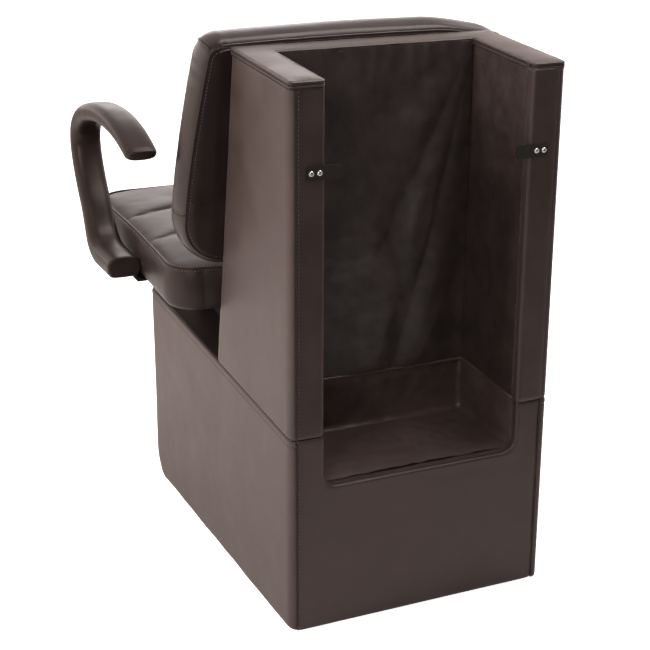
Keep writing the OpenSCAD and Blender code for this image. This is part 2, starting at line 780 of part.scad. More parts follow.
// The top edge bows up between its corners
function back_place(u, i) = let (y = back_rows[i][0], up = pow(max(0, y / back_h), 4))
    [u * back_rows[i][1], y + back_top_bow * (1 - u * u) * up];

function back_face(u, y) = let (v = 2 * y / back_h - 1)
    back_t - back_crown * (1 - (1 - pow(abs(u), 4)) * (1 - pow(min(abs(v), 1), 4)));

module back_pad() translate([0, back_low, 0]) pad(back_rows, pad_cells, function (u, i) back_place(u, i),
    function (u, y) back_face(u, y), [for (r = pad_shares) [r[0] * back_swell, r[1]]]);

module back_board_shape() translate([-back_board_w / 2, back_low + back_board_in, 0])
    cube([back_board_w, back_h - 2 * back_board_in, board_t]);

module back_cushion() color("#3b3230") from_rear() back_frame() difference() {
    back_pad();
    back_board_shape();
    translate([0, 0, -over]) back_board_shape();
}

module back_board() color("burlywood") from_rear() back_frame() difference() {
    back_board_shape();
    back_screw_holes();
}

module at_back_screws() for (k = [0, 1]) translate([back_screw_x,
    back_low + back_board_in + back_screw_low + k * back_screw_pitch, -pad_t - board_t]) children();

module back_screw_holes() both_sides() at_back_screws()
    translate([0, 0, -over]) cylinder(r = screw_r, h = pad_t + board_t + back_screw_bite + over);

module back_lag_screws() color("silver") from_rear() back_frame() both_sides() at_back_screws()
    hex_screw(screw_r, screw_head_r, screw_head_h, pad_t + board_t + back_screw_bite);

// Arms, drawn in the seat's frame

function arm_point(share) = [-arm_front + share[0] * arm_reach, arm_foot_z + share[1] * arm_rise];

arm_knots = [for (s = arm_shares) arm_point(s)];

// Smooth curve through the knots
function spline(a, b, c, d, t) = (2 * b + (c - a) * t + (2 * a - 5 * b + 4 * c - d) * t * t
    + (3 * b - a - 3 * c + d) * t * t * t) / 2;

function along(knots, steps) = let (n = len(knots)) concat(
    [for (i = [0:n - 2], k = [0:steps - 1]) spline(knots[max(i - 1, 0)], knots[i], knots[i + 1],
        knots[min(i + 2, n - 1)], k / steps)], [knots[n - 1]]);

arm_line = along(arm_knots, arm_steps);
arm_n = len(arm_line) - 1;

function arm_way(i) = let (t = arm_line[min(i + 1, arm_n)] - arm_line[max(i - 1, 0)]) t / norm(t);

// Thickness share of the arm, which thins towards its tip
function arm_thin(i) = let (s = max(0, i / arm_n - arm_tip_share) / (1 - arm_tip_share))
    1 - arm_tip_thin_share * s * s;

// Size share of the ring at angle a of a rounded end, from its flat face at 0 to the full section at 90
function end_share(a) = 1 - (1 - sin(a)) * arm_round_share;

end_angles = [0, 30, 60];

// Rings of an arm: [point, way, thickness share, size share], with both ends rounded off
arm_rings = concat(
    [for (a = end_angles) [arm_line[0] + arm_end_r * (1 - cos(a)) * arm_way(0), arm_way(0), arm_thin(0),
        end_share(a)]],
    [for (i = [1:arm_n - 1]) [arm_line[i], arm_way(i), arm_thin(i), 1]],
    [for (k = [2:-1:0]) [arm_line[arm_n] - arm_end_r * (1 - cos(end_angles[k])) * arm_way(arm_n),
        arm_way(arm_n), arm_thin(arm_n), end_share(end_angles[k])]]);

function bulge(c) = sign(c) * pow(abs(c), arm_square_share);

module arm_body(sides) {
    n = len(arm_rings);
    points = [for (r = arm_rings, k = [0:sides - 1]) let (a = 360 * k / sides,
        off = bulge(sin(a)) * arm_t / 2 * r[2] * r[3])
        [bulge(cos(a)) * arm_w / 2 * r[3], r[0][0] - off * r[1][1], r[0][1] + off * r[1][0]]];
    polyhedron(concat(points, [[0, arm_rings[0][0][0], arm_rings[0][0][1]],
        [0, arm_rings[n - 1][0][0], arm_rings[n - 1][0][1]]]), concat(
        [for (i = [0:n - 2], k = [0:sides - 1], h = [0, 1])
            let (a = i * sides + k, b = i * sides + (k + 1) % sides)
            h == 0 ? [a, b + sides, a + sides] : [a, b, b + sides]],
        [for (k = [0:sides - 1]) [n * sides, (k + 1) % sides, k]],
        [for (k = [0:sides - 1]) [n * sides + 1, (n - 1) * sides + k, (n - 1) * sides + (k + 1) % sides]]
    ), convexity = 6);
}

// Steel strip inside the arm, bent along its centre line
module core_outline() {
    line = [for (i = [1:floor(core_end_share * arm_n)]) i];
    polygon(concat(
        [for (i = line) arm_line[i] + core_t / 2 * [-arm_way(i)[1], arm_way(i)[0]]],
        [for (k = [len(line) - 1:-1:0]) let (i = line[k]) arm_line[i] - core_t / 2 * [-arm_way(i)[1], arm_way(i)[0]]]));
}

module core_strip() side_slab(-core_w / 2, core_w / 2) core_outline();

module at_arm_bolts() for (s = [-1, 1])
    translate([0, -foot_mid + s * arm_bolt_pitch / 2, foot_z0 - plate_t]) children();

arm_bolt_l = plate_t + arm_foot_z + core_t / 2 - foot_z0;

module arm_bolt_holes() at_arm_bolts() translate([0, 0, -over]) cylinder(r = bolt_r, h = arm_bolt_l + over);

module arm() translate([arm_x, 0, 0]) difference() {
    arm_body(arm_sides);
    core_strip();
    translate([-arm_w, -arm_front, foot_z0 - arm_t]) cube([2 * arm_w, arm_front, arm_t]);
    arm_bolt_holes();
}

module arm_left() color("#2f2725") from_rear() seat_frame() arm();

module arm_right() color("#2f2725") from_rear() seat_frame() mirrored() arm();

module arm_core() translate([arm_x, 0, 0]) difference() {
    core_strip();
    arm_bolt_holes();
}

module arm_core_left() color("slategray") from_rear() seat_frame() arm_core();

module arm_core_right() color("slategray") from_rear() seat_frame() mirrored() arm_core();

plate_x0 = riser_w / 2 + plate_gap;
plate_x1 = seat_w / 2 + seat_swell + plate_clear;
plate_x2 = plate_x1 + plate_bend;
plate_x3 = arm_x + plate_out;

// How far the strap's underside bends after its top does
plate_lag = plate_t * tan(atan(crank_h / plate_bend) / 2);

// Steel strap that runs out under the seat, bends up beside it and carries the arm's foot
module arm_plate() difference() {
    rear_slab(-foot_mid - plate_w / 2, -foot_mid + plate_w / 2) polygon([
        [plate_x0, -dust_t], [plate_x1, -dust_t], [plate_x2, foot_z0], [plate_x3, foot_z0],
        [plate_x3, foot_z0 - plate_t], [plate_x2 + plate_lag, foot_z0 - plate_t],
        [plate_x1 + plate_lag, -dust_t - plate_t], [plate_x0, -dust_t - plate_t]]);
    translate([arm_x, 0, 0]) arm_bolt_holes();
    plate_screw_holes();
}

module arm_plate_left() color("#1c1717") from_rear() seat_frame() arm_plate();

module arm_plate_right() color("#1c1717") from_rear() seat_frame() mirrored() arm_plate();

module arm_bolts() color("silver") from_rear() seat_frame() both_sides() translate([arm_x, 0, 0]) at_arm_bolts() {
    cylinder(r = bolt_r, h = arm_bolt_l);
    translate([0, 0, -washer_t]) cylinder(r = washer_r, h = washer_t);
    translate([0, 0, -washer_t - bolt_head_h]) cylinder(r = bolt_head_r, h = bolt_head_h, $fn = 6);
}

module at_plate_screws() for (i = [0, 1], s = [-1, 1])
    translate([plate_x0 + plate_screw_in + i * plate_screw_pitch_x, -foot_mid + s * plate_screw_pitch_y / 2,
        -dust_t - plate_t]) children();

module plate_screw_holes() at_plate_screws()
    translate([0, 0, -over]) cylinder(r = plate_screw_r, h = plate_t + dust_t + plate_screw_bite + over);

module plate_screws() color("silver") from_rear() seat_frame() both_sides() at_plate_screws() {
    cylinder(r = plate_screw_r, h = plate_t + dust_t + plate_screw_bite);
    translate([0, 0, -plate_head_h]) cylinder(r = plate_head_r, h = plate_head_h);
}

base_side_left();
base_side_right();
base_front_panel();
base_toe_rail();
base_rear_panel();
base_deck();
base_corner_blocks();
base_glides();
glide_nails();
shelf_cleats();
dryer_shelf();
recess_side_left();
recess_side_right();
recess_back();
recess_lining();
base_cover_left();
base_cover_right();
base_cover_front();
base_cover_rear();
base_deck_cover();
housing_outer_board_left();
housing_outer_board_right();
housing_inner_board_left();
housing_inner_board_right();
housing_spacers_left();
housing_spacers_right();
bay_board();
housing_front_board();
housing_top_board();
housing_battens();
housing_cover_left();
housing_cover_right();
housing_rear_cover_left();
housing_rear_cover_right();
housing_front_cover();
housing_top_cap();
bay_lining();
bay_side_linings();
dryer_strap_left();
dryer_strap_right();
strap_screws();
housing_lag_screws();
back_board();
back_cushion();
back_lag_screws();
seat_board();
seat_cushion();
seat_dust_cover();
riser_rail_left();
riser_rail_right();
riser_front_panel();
seat_bolts();
arm_left();
arm_right();
arm_core_left();
arm_core_right();
arm_plate_left();
arm_plate_right();
arm_bolts();
plate_screws();
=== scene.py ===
"""Salon chair with a bay for a dryer behind its backrest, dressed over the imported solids.

Every size is in millimetres in the solids' own frame: x to the sitter's left, y from the chair's front to its
rear, z up. Depth is measured forwards from the rear face of the base.
"""

import logging
import math
from dataclasses import dataclass, field
from enum import Enum
from typing import Callable, Iterable, Sequence

import bmesh
import bpy
from mathutils import Matrix, Vector, noise


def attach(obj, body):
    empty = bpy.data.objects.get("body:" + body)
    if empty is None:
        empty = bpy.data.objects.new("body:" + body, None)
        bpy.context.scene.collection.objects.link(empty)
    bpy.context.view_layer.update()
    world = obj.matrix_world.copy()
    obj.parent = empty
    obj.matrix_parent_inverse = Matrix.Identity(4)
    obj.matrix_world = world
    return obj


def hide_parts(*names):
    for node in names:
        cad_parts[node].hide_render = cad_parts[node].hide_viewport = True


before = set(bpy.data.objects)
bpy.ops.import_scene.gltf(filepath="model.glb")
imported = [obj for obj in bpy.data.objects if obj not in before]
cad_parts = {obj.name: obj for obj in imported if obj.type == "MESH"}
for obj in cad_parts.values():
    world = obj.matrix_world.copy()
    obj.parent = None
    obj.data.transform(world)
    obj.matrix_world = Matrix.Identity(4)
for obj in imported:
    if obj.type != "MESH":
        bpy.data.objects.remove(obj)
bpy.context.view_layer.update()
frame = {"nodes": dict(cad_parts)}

LOG = logging.getLogger("dryer_chair")

MM = 0.001  # metres in a millimetre
REAR_Y = 418.997  # rear face of the base
RISE = math.tan(math.radians(4))  # climb of the deck towards the front
LEAN = math.radians(9.925)  # lean of the housing's front
FOOT_Z = 347.24  # foot of that front
FOOT_D = 318.0  # depth of that foot
DECK_Z = 325.0  # deck, at the rear
ROOF_Z = 863.0  # top of the cap, at the rear
SKIRT_H = 11.0  # edge of the cap
OUTER_X = 222.5  # outer faces of the side walls
LAP_X = OUTER_X - 10.4  # where the side skins meet the rear and the front one
BAY_X = 167.5  # half the bay's width
BAY_D = 180.0  # the bay's depth
LEAST_SPAN = 2.5  # of a welt's or seam's line
CUT_SHIFT = 0.137  # keeps a cut off the vertices that a form already has
MIX_A, MIX_B, MIX_RESULT = 6, 7, 2  # colour sockets of a Mix node

Form = bmesh.types.BMesh
Socket = bpy.types.NodeSocket
Tree = bpy.types.NodeTree
Triple = tuple[float, float, float]


class Side(Enum):
    """The sitter's left is +1 along x, and the right is -1."""

    LEFT = 1
    RIGHT = -1

    @property
    def tag(self) -> str:
        """End of the names of this side's pieces."""
        return self.name.lower()


class Run(Enum):
    """Stretches of a side skin's path, from its front lap to its rear one."""

    FRONT_LAP = 0
    FRONT_ARC = 1
    SIDE = 2
    REAR_ARC = 3
    REAR_LAP = 4


class Lining(Enum):
    """The three linings of the dryer's bay."""

    REAR = "bay_lining"
    SIDES = "bay_side_linings"
    RECESS = "recess_lining"


def slope(z: float, depth: float) -> float:
    """Height at a depth on a plane that is z high at the rear and climbs with the deck."""
    return z + depth * RISE


def front_depth(z: float) -> float:
    """Depth of the housing's leaning front where a deck-parallel plane of rear height z meets it."""
    return (FOOT_D - (z - FOOT_Z) * math.tan(LEAN)) / (1 + RISE * math.tan(LEAN))


def point(x: float, depth: float, z: float) -> Vector:
    """Point in millimetres from x, a depth from the rear face, and a height."""
    return Vector((x, REAR_Y - depth, z))


def ripple(p: Vector, size: float, seed: float) -> float:
    """Smooth noise from -1 to 1 whose bumps are about size millimetres across."""
    return noise.noise(p / size + Vector((seed, 1.7 * seed, -seed)))


def pucker(along: float, away: float, width: float, pitch: float, seed: float) -> float:
    """Pull of a sewn seam on the cloth beside it.

    Args:
        along: distance along the seam, in millimetres.
        away: distance from the seam.
        width: how far the pull reaches.
        pitch: mean distance between two puckers.
        seed: shifts the pattern.

    Returns:
        Share of the full depth, from 0 to 1.
    """
    wander = 2.6 * noise.noise(Vector((along / 34.0, seed, 0.3)))
    wave = 0.5 + 0.5 * math.sin(2 * math.pi * along / pitch + wander)
    return math.exp(-((away / width) ** 2)) * (0.3 + 0.7 * wave)


def smooth(a: float, b: float, x: float) -> float:
    """Smooth step from 0 at a to 1 at b."""
    t = min(1.0, max(0.0, (x - a) / (b - a)))
    return t * t * (3 - 2 * t)


def steps(a: float, b: float, count: int) -> list[float]:
    """Evenly spaced numbers from a to b, both included."""
    return [a + (b - a) * i / count for i in range(count + 1)]


def eased(count: int, power: float = 1.5) -> list[float]:
    """Numbers from -1 to 1 that crowd towards both ends."""
    return [math.copysign(1 - (1 - abs(t)) ** power, t) for t in steps(-1, 1, count)]


def srgb(code: str) -> tuple[float, float, float, float]:
    """Linear colour with full alpha from an sRGB hex code."""
    parts = [int(code[i : i + 2], 16) / 255 for i in (1, 3, 5)]
    return tuple(c / 12.92 if c <= 0.04045 else ((c + 0.055) / 1.055) ** 2.4 for c in parts) + (1.0,)


def grid_form(us: Sequence, vs: Sequence, place: Callable) -> Form:
    """Sheet whose rows and columns lie at given stations.

    Args:
        us: stations across the sheet.
        vs: stations up the sheet.
        place: gives a vertex's place in millimetres from its two stations.

    Returns:
        The sheet.
    """
    bm = bmesh.new()
    nu, nv = len(us) - 1, len(vs) - 1
    bmesh.ops.create_grid(bm, x_segments=nu, y_segments=nv, size=1.0)
    for v in bm.verts:
        i, j = round((v.co.x + 1) / 2 * nu), round((v.co.y + 1) / 2 * nv)
        v.co = place(us[i], vs[j])
    return bm


def face_way(bm: Form, way: Sequence[float] = (0, 0, 0), centre: Vector | None = None) -> None:
    """Turns a sheet's faces one way, or towards a centre where one is given."""
    ways = ((f, centre - f.calc_center_median() if centre else Vector(way)) for f in bm.faces)
    if sum(f.normal.dot(w) * f.calc_area() for f, w in ways) < 0:
        bmesh.ops.reverse_faces(bm, faces=bm.faces[:])


def open_edges(bm: Form) -> list[bmesh.types.BMEdge]:
    """Edges with a face on one side only."""
    return [e for e in bm.edges if e.is_boundary]


def seal(bm: Form, gap: float = 0.01) -> Form:
    """Joins a form's vertices that lie nearer than gap, closes its ends and turns its faces outwards."""
    bmesh.ops.remove_doubles(bm, verts=bm.verts[:], dist=gap)
    ends = open_edges(bm)
    if ends:
        bmesh.ops.holes_fill(bm, edges=ends)
    bmesh.ops.recalc_face_normals(bm, faces=bm.faces[:])
    return bm


def mesh_of(name: str, bm: Form) -> bpy.types.Mesh:
    """A mesh with the form's faces; the form is freed."""
    mesh = bpy.data.meshes.new(name)
    bm.to_mesh(mesh)
    bm.free()
    return mesh


def take_in(bm: Form, other: Form) -> None:
    """Adds another form's faces to a form; the other is freed."""
    mesh = mesh_of("part", other)
    bm.from_mesh(mesh)
    bpy.data.meshes.remove(mesh)


def in_scene(name: str, data: bpy.types.ID) -> bpy.types.Object:
    """A new object of the scene that shows a mesh, light or camera."""
    obj = bpy.data.objects.new(name, data)
    bpy.context.scene.collection.objects.link(obj)
    return obj


def slice_grid(bm: Form, axis: int, cell: float) -> None:
    """Cuts a form into strips by planes square to an axis, one every cell millimetres."""
    low, high = min(v.co[axis] for v in bm.verts), max(v.co[axis] for v in bm.verts)
    normal = Vector((0, 0, 0))
    normal[axis] = 1.0
    count = max(1, round((high - low) / cell))
    for i in range(1, count):
        at = Vector((0, 0, 0))
        at[axis] = low + (high - low) * i / count + CUT_SHIFT
        geom = bm.verts[:] + bm.edges[:] + bm.faces[:]
        bmesh.ops.bisect_plane(bm, geom=geom, plane_co=at, plane_no=normal, dist=1e-4)


def rolled_skin(
    corners: Sequence[Vector], rounds: dict[int, float], turn: Callable[[int], float], inward: Vector, roll: float,
    cell: float,
) -> Form:
    """Flat skin with soft turned edges, cut fine enough to be shaped.

    Args:
        corners: the outline's corners in order.
        rounds: radius of each rounded corner by its index.
        turn: how far the edge that starts at a corner's index is turned in.
        inward: unit vector that the turned edges follow.
        roll: radius of the turn.
        cell: spacing of the cuts.

    Returns:
        The skin.
    """
    bm = bmesh.new()
    verts = [bm.verts.new(c) for c in corners]
    bm.faces.new(verts)
    spans = [(c.copy(), corners[(i + 1) % len(corners)].copy(), turn(i)) for i, c in enumerate(corners)]
    for radius in sorted(set(rounds.values())):
        picked = [verts[i] for i, r in rounds.items() if r == radius]
        bmesh.ops.bevel(bm, geom=picked, offset=radius, affect="VERTICES", segments=7, profile=0.5, material=-1)
    rim = open_edges(bm)

    def depth_at(p: Vector) -> float:
        """Turn of the nearest side of the outline; at a corner, of the side that is turned further."""
        gaps = []
        for a, b, t in spans:
            along = max(0.0, min(1.0, (p - a).dot(b - a) / (b - a).length_squared))
            gaps.append(((p - a.lerp(b, along)).length - t * 1e-3, t))
        return min(gaps)[1]

    out = bmesh.ops.extrude_edge_only(bm, edges=rim)
    for v in (g for g in out["geom"] if isinstance(g, bmesh.types.BMVert)):
        v.co += inward * depth_at(v.co)
    bmesh.ops.bevel(
        bm, geom=rim, offset=roll, affect="EDGES", segments=5, profile=0.5, material=-1, clamp_overlap=True
    )
    for axis in range(3):
        if abs(inward[axis]) < 0.5:
            slice_grid(bm, axis, cell)
    return bm


def tube(path: Sequence[Vector], radius: float, sides: int, closed: bool = False) -> Form:
    """Round cord, such as the filler of a welt, along a path in millimetres.

    Args:
        path: points that the cord's centre follows.
        radius: of the cord.
        sides: of its section.
        closed: whether its end meets its start.

    Returns:
        The cord's surface with closed ends.
    """
    count = len(path)
    ways = []
    for i in range(count):
        a = path[i - 1] if i or closed else path[0]
        b = path[(i + 1) % count] if i < count - 1 or closed else path[-1]
        ways.append((b - a).normalized())
    up = ways[0].orthogonal().normalized()
    ups = []
    for way in ways:
        up = (up - way * up.dot(way)).normalized()
        ups.append(up.copy())

    def place(k: int, i: int) -> Vector:
        """Point of ring i at side k."""
        i %= count
        angle = 2 * math.pi * k / sides
        return path[i] + radius * (ups[i] * math.cos(angle) + ways[i].cross(ups[i]) * math.sin(angle))

    return seal(grid_form(range(sides + 1), range(count + (1 if closed else 0)), place), radius * 0.02)


def along_path(path: Sequence[Vector], pitch: float) -> list[tuple[Vector, Vector]]:
    """Points every pitch along a path, each with its direction."""
    out, walked, due = [], 0.0, pitch / 2
    for a, b in zip(path, path[1:]):
        length = (b - a).length
        while length > 1e-6 and due <= walked + length:
            out.append((a.lerp(b, (due - walked) / length), (b - a).normalized()))
            due += pitch
        walked += length
    return out


@dataclass(frozen=True)
class Stitch:
    """One kind of stitch. Its thread is drawn somewhat thicker than real thread so that it shows."""

    pitch: float  # distance from one stitch to the next
    length: float
    width: float


LAP_STITCH = Stitch(6.5, 4.2, 1.5)
REAR_STITCH = Stitch(6.0, 3.6, 1.4)
BACK_STITCH = Stitch(5.5, 3.6, 1.3)
MITRE_STITCH = Stitch(5.0, 3.4, 1.3)
SEAT_STITCH = Stitch(5.5, 3.9, 1.4)


def stitch_row(bm: Form, path: Sequence[Vector], up: Vector, kind: Stitch) -> None:
    """Adds one thread end after another along a path.

    Args:
        bm: receives the stitches.
        path: seam line in millimetres.
        up: way out of the surface.
        kind: of stitch.
    """
    size = Matrix.Diagonal((kind.length / 2, kind.width / 2, kind.width / 2, 1.0))
    for p, way in along_path(path, kind.pitch):
        across = way.cross(up).normalized()
        turn = Matrix((way, across, way.cross(across))).transposed().to_4x4()
        bmesh.ops.create_uvsphere(
            bm, u_segments=6, v_segments=4, radius=1.0, matrix=Matrix.Translation(p + 0.15 * up) @ turn @ size
        )


def thinned(points: Iterable[Vector]) -> list[Vector]:
    """The points without those that lie nearer than LEAST_SPAN to the one before."""
    out: list[Vector] = []
    for p in points:
        if not out or (p - out[-1]).length > LEAST_SPAN:
            out.append(p)
    return out


def add_node(
    tree: Tree, kind: str, inputs: dict | None = None, links: dict | None = None, **settings
) -> bpy.types.Node:
    """Adds one shader node.

    Args:
        tree: the material's or world's tree.
        kind: the node's type name.
        inputs: values by input name or index.
        links: output sockets by input name or index.
        settings: attributes of the node.

    Returns:
        The node.
    """
    node = tree.nodes.new(kind)
    for key, value in settings.items():
        setattr(node, key, value)
    for key, value in (inputs or {}).items():
        node.inputs[key].default_value = value
    for key, socket in (links or {}).items():
        tree.links.new(socket, node.inputs[key])
    return node


def empty_tree(owner: bpy.types.Material | bpy.types.World) -> Tree:
    """Node tree of a material or a world, with nothing in it."""
    owner.use_nodes = True
    owner.node_tree.nodes.clear()
    return owner.node_tree


@dataclass
class Bench:
    """Nodes of one material or world while they are laid out: its tree, its shader and its coordinates."""

    tree: Tree
    shader: bpy.types.Node
    at: Socket

    def noise(self, size_mm: float, detail: float = 3.0, rough: float = 0.5) -> Socket:
        """Noise whose blots are about size_mm across."""
        values = {"Scale": 1000 / size_mm, "Detail": detail, "Roughness": rough}
        return add_node(self.tree, "ShaderNodeTexNoise", values, {"Vector": self.at}).outputs["Fac"]

    def spread(self, value: Socket, low: float, high: float, a: float = 0.3, b: float = 0.7) -> Socket:
        """Maps a pattern's a to b onto low to high."""
        values = {"From Min": a, "From Max": b, "To Min": low, "To Max": high}
        return add_node(self.tree, "ShaderNodeMapRange", values, {"Value": value}).outputs[0]

    def blend(self, share: Socket, first: str, second: str) -> Socket:
        """Colour between two hex codes by a share."""
        values = {MIX_A: srgb(first), MIX_B: srgb(second)}
        return add_node(self.tree, "ShaderNodeMix", values, {0: share}, data_type="RGBA").outputs[MIX_RESULT]

    def bump(self, height: Socket, depth_mm: float, strength: float, under: Socket | None = None) -> Socket:
        """Bump of a real depth, over another bump where one is given."""
        links = {"Height": height} if under is None else {"Height": height, "Normal": under}
        values = {"Strength": strength, "Distance": depth_mm * MM}
        return add_node(self.tree, "ShaderNodeBump", values, links).outputs[0]

    def give(self, sockets: dict[str, object]) -> None:
        """Sets the shader's sockets by name, with a link where the value is a socket itself."""
        for name, value in sockets.items():
            if isinstance(value, Socket):
                self.tree.links.new(value, self.shader.inputs[name])
            else:
                self.shader.inputs[name].default_value = value


@dataclass(frozen=True)
class Finish:
    """One real material with the socket values that are the same all over it."""

    name: str
    colour: str
    roughness: float
    metallic: float = 0.0
    ior: float = 1.5
    record_slot: str = ""
    _made: dict = field(default_factory=dict, compare=False, repr=False)

    def material(self) -> bpy.types.Material:
        """The finish's material, made at its first use."""
        if "m" not in self._made:
            mat = bpy.data.materials.new(self.name)
            mat.diffuse_color = colour = srgb(self.colour)
            tree = empty_tree(mat)
            values = {"Base Color": colour, "Roughness": self.roughness, "Metallic": self.metallic, "IOR": self.ior}
            shader = add_node(tree, "ShaderNodeBsdfPrincipled", values)
            add_node(tree, "ShaderNodeOutputMaterial", links={0: shader.outputs[0]})
            self.detail(Bench(tree, shader, add_node(tree, "ShaderNodeTexCoord").outputs["Object"]))
            self._made["m"] = mat
        return self._made["m"]

    def detail(self, bench: Bench) -> None:
        """Adds the finish's own pattern; the plain one has none."""


@dataclass(frozen=True)
class Leathercloth(Finish):
    """Calendered and embossed vinyl on a knit: a near black brown with a soft sheen.

    The eye gets a fine pebble grain, broad clouds in the gloss from handling, and a warm grey where it mirrors
    the room at a low angle.
    """

    grain_mm: float = 2.4
    light: str = "#2b201c"
    sheen: float = 0.0
    slack: float = 0.35
    gloss: float = 0.45

    def detail(self, bench: Bench) -> None:
        """Grain, creases and clouds. The grain is drawn twice as coarse as real so that it shows."""
        values = {"Scale": 1000 / self.grain_mm, "Randomness": 0.9}
        cells = add_node(bench.tree, "ShaderNodeTexVoronoi", values, {"Vector": bench.at}, feature="SMOOTH_F1")
        pores = bench.bump(cells.outputs["Distance"], 0.12, 0.55)
        slack = bench.bump(bench.noise(38, 2.5, 0.45), self.slack, 0.8, pores)
        cloud = bench.noise(95, 4.0, 0.6)
        bench.give({
            "Base Color": bench.blend(bench.spread(cloud, 0.0, 1.0), self.colour, self.light),
            "Roughness": bench.spread(cloud, self.roughness - 0.05, self.roughness + 0.07),
            "Normal": bench.bump(bench.noise(9, 2.0), 0.06, 0.6, slack),
            "Specular IOR Level": self.gloss, "Specular Tint": srgb("#f6e6df"),
            "Sheen Weight": self.sheen, "Sheen Roughness": 0.45, "Sheen Tint": srgb("#cdb4a6"),
        })


@dataclass(frozen=True)
class WovenCloth(Finish):
    """Woven or spunbonded cloth, or thread: matt, with its threads just showing and darker in its dips."""

    thread_mm: float = 1.6
    light: str = "#2b2220"

    def detail(self, bench: Bench) -> None:
        """Two crossed thread waves with fine fluff over them, drawn coarser than real so that they show."""
        waves, at = {}, {"Vector": bench.at}
        values = {"Scale": 1000 / self.thread_mm / 6.28, "Distortion": 0.6, "Detail": 1.0}
        for i, way in enumerate("XZ"):
            wave = add_node(bench.tree, "ShaderNodeTexWave", values, at, wave_type="BANDS", bands_direction=way)
            waves[i] = wave.outputs["Fac"]
        weave = add_node(bench.tree, "ShaderNodeMath", links=waves, operation="MAXIMUM").outputs[0]
        soft = bench.bump(bench.noise(14, 3.0), 0.5, 0.7)
        cloud = bench.spread(bench.noise(42, 5.0, 0.65), 0.0, 1.0, 0.38, 0.68)
        bench.give({
            "Base Color": bench.blend(cloud, self.colour, self.light), "Normal": bench.bump(weave, 0.18, 0.6, soft),
            "Sheen Weight": 0.12, "Sheen Roughness": 0.5, "Sheen Tint": srgb("#9c8880"),
        })


@dataclass(frozen=True)
class MouldedFoam(Finish):
    """Integral skin polyurethane from a mould: satin black brown, orange peel, patches polished by hands."""

    light: str = "#241b18"

    def detail(self, bench: Bench) -> None:
        """Very fine orange peel over wide dips, and clouds in colour and gloss."""
        peel = bench.bump(bench.noise(3.2, 2.0), 0.08, 0.6)
        cloud = bench.noise(60, 3.0)
        bench.give({
            "Base Color": bench.blend(bench.spread(cloud, 0.0, 1.0), self.colour, self.light),
            "Roughness": bench.spread(cloud, self.roughness - 0.05, self.roughness + 0.08),
            "Normal": bench.bump(bench.noise(30, 2.0), 0.2, 0.6, peel),
            "Specular IOR Level": 0.32, "Specular Tint": srgb("#f3ddd2"),
        })


@dataclass(frozen=True)
class CoatedSteel(Finish):
    """Pressed steel: painted black, zinc plated or bare, with rub marks and a faint drawn grain."""

    worn: str = "#4a4644"
    grain_mm: float = 1.2

    def detail(self, bench: Bench) -> None:
        """Rubbed patches in colour and gloss over fine ripples."""
        patch = bench.noise(12, 6.0, 0.7)
        bench.give({
            "Base Color": bench.blend(bench.spread(patch, 0.0, 0.8, 0.52, 0.72), self.colour, self.worn),
            "Roughness": bench.spread(patch, self.roughness + 0.06, self.roughness - 0.06),
            "Normal": bench.bump(bench.noise(self.grain_mm, 3.0), 0.04, 0.6),
        })


@dataclass(frozen=True)
class Grained(Finish):
    """Stained or painted plywood, or moulded nylon: dry, with long lines along z."""

    dark: str = "#9a7447"
    grain_mm: float = 5.0

    def detail(self, bench: Bench) -> None:
        """Lines stretched along z by a Mapping node, with a slight relief."""
        values = {"Scale": (1.0, 1.0, 0.08)}
        bench.at = add_node(bench.tree, "ShaderNodeMapping", values, {"Vector": bench.at}).outputs[0]
        grain = bench.noise(self.grain_mm, 5.0, 0.6)
        lines = bench.blend(bench.spread(grain, 0.0, 1.0), self.colour, self.dark)
        bench.give({"Base Color": lines, "Normal": bench.bump(grain, 0.12, 0.5)})


VINYL = Leathercloth("brown_leathercloth", "#271e1c", 0.4, record_slot="brown_vinyl", light="#332927", sheen=0.1)
# Seat leathercloth painted darker than the housing's: the extra darkness is painted shade.
SHADED_SEAT_VINYL = Leathercloth(
    "seat_leathercloth", "#181210", 0.4, record_slot="brown_vinyl", light="#261e1b", slack=0.5, gloss=0.33
)
# Back cushion leathercloth painted darker than the housing's: the extra darkness is painted shade.
SHADED_BACK_VINYL = Leathercloth(
    "back_leathercloth", "#1c1614", 0.31, record_slot="brown_vinyl", light="#28201e", slack=0.5, gloss=0.36
)
WELT_VINYL = Leathercloth(
    "welt_leathercloth", "#241b18", 0.27, record_slot="brown_vinyl", light="#312723", grain_mm=1.6, slack=0.12
)
# Deck leathercloth painted darker than the base's: painted shade from the seat and the housing over the deck.
SHADED_DECK_VINYL = Leathercloth("deck_leathercloth", "#120c0a", 0.45, record_slot="brown_vinyl", light="#1a1310")
LINING = WovenCloth("bay_lining_cloth", "#221a18", 0.44, record_slot="bay_lining_cloth", ior=1.45, light="#322825")
# Leathercloth painted lighter than the rest: painted light on the dim recess lining and a painted highlight on the
# ledge welt.
RECESS = Leathercloth(
    "recess_leathercloth", "#3a2e2b", 0.4, record_slot="bay_lining_cloth", light="#50423e", sheen=0.1, slack=0.9
)
DUST = WovenCloth(
    "spunbonded_dust_cloth", "#0d0b0b", 0.85, record_slot="dust_cloth", light="#171414", thread_mm=2.2, ior=1.45
)
THREAD = WovenCloth("polyester_thread", "#3b312d", 0.45, record_slot="brown_vinyl", light="#574a44", thread_mm=0.8)
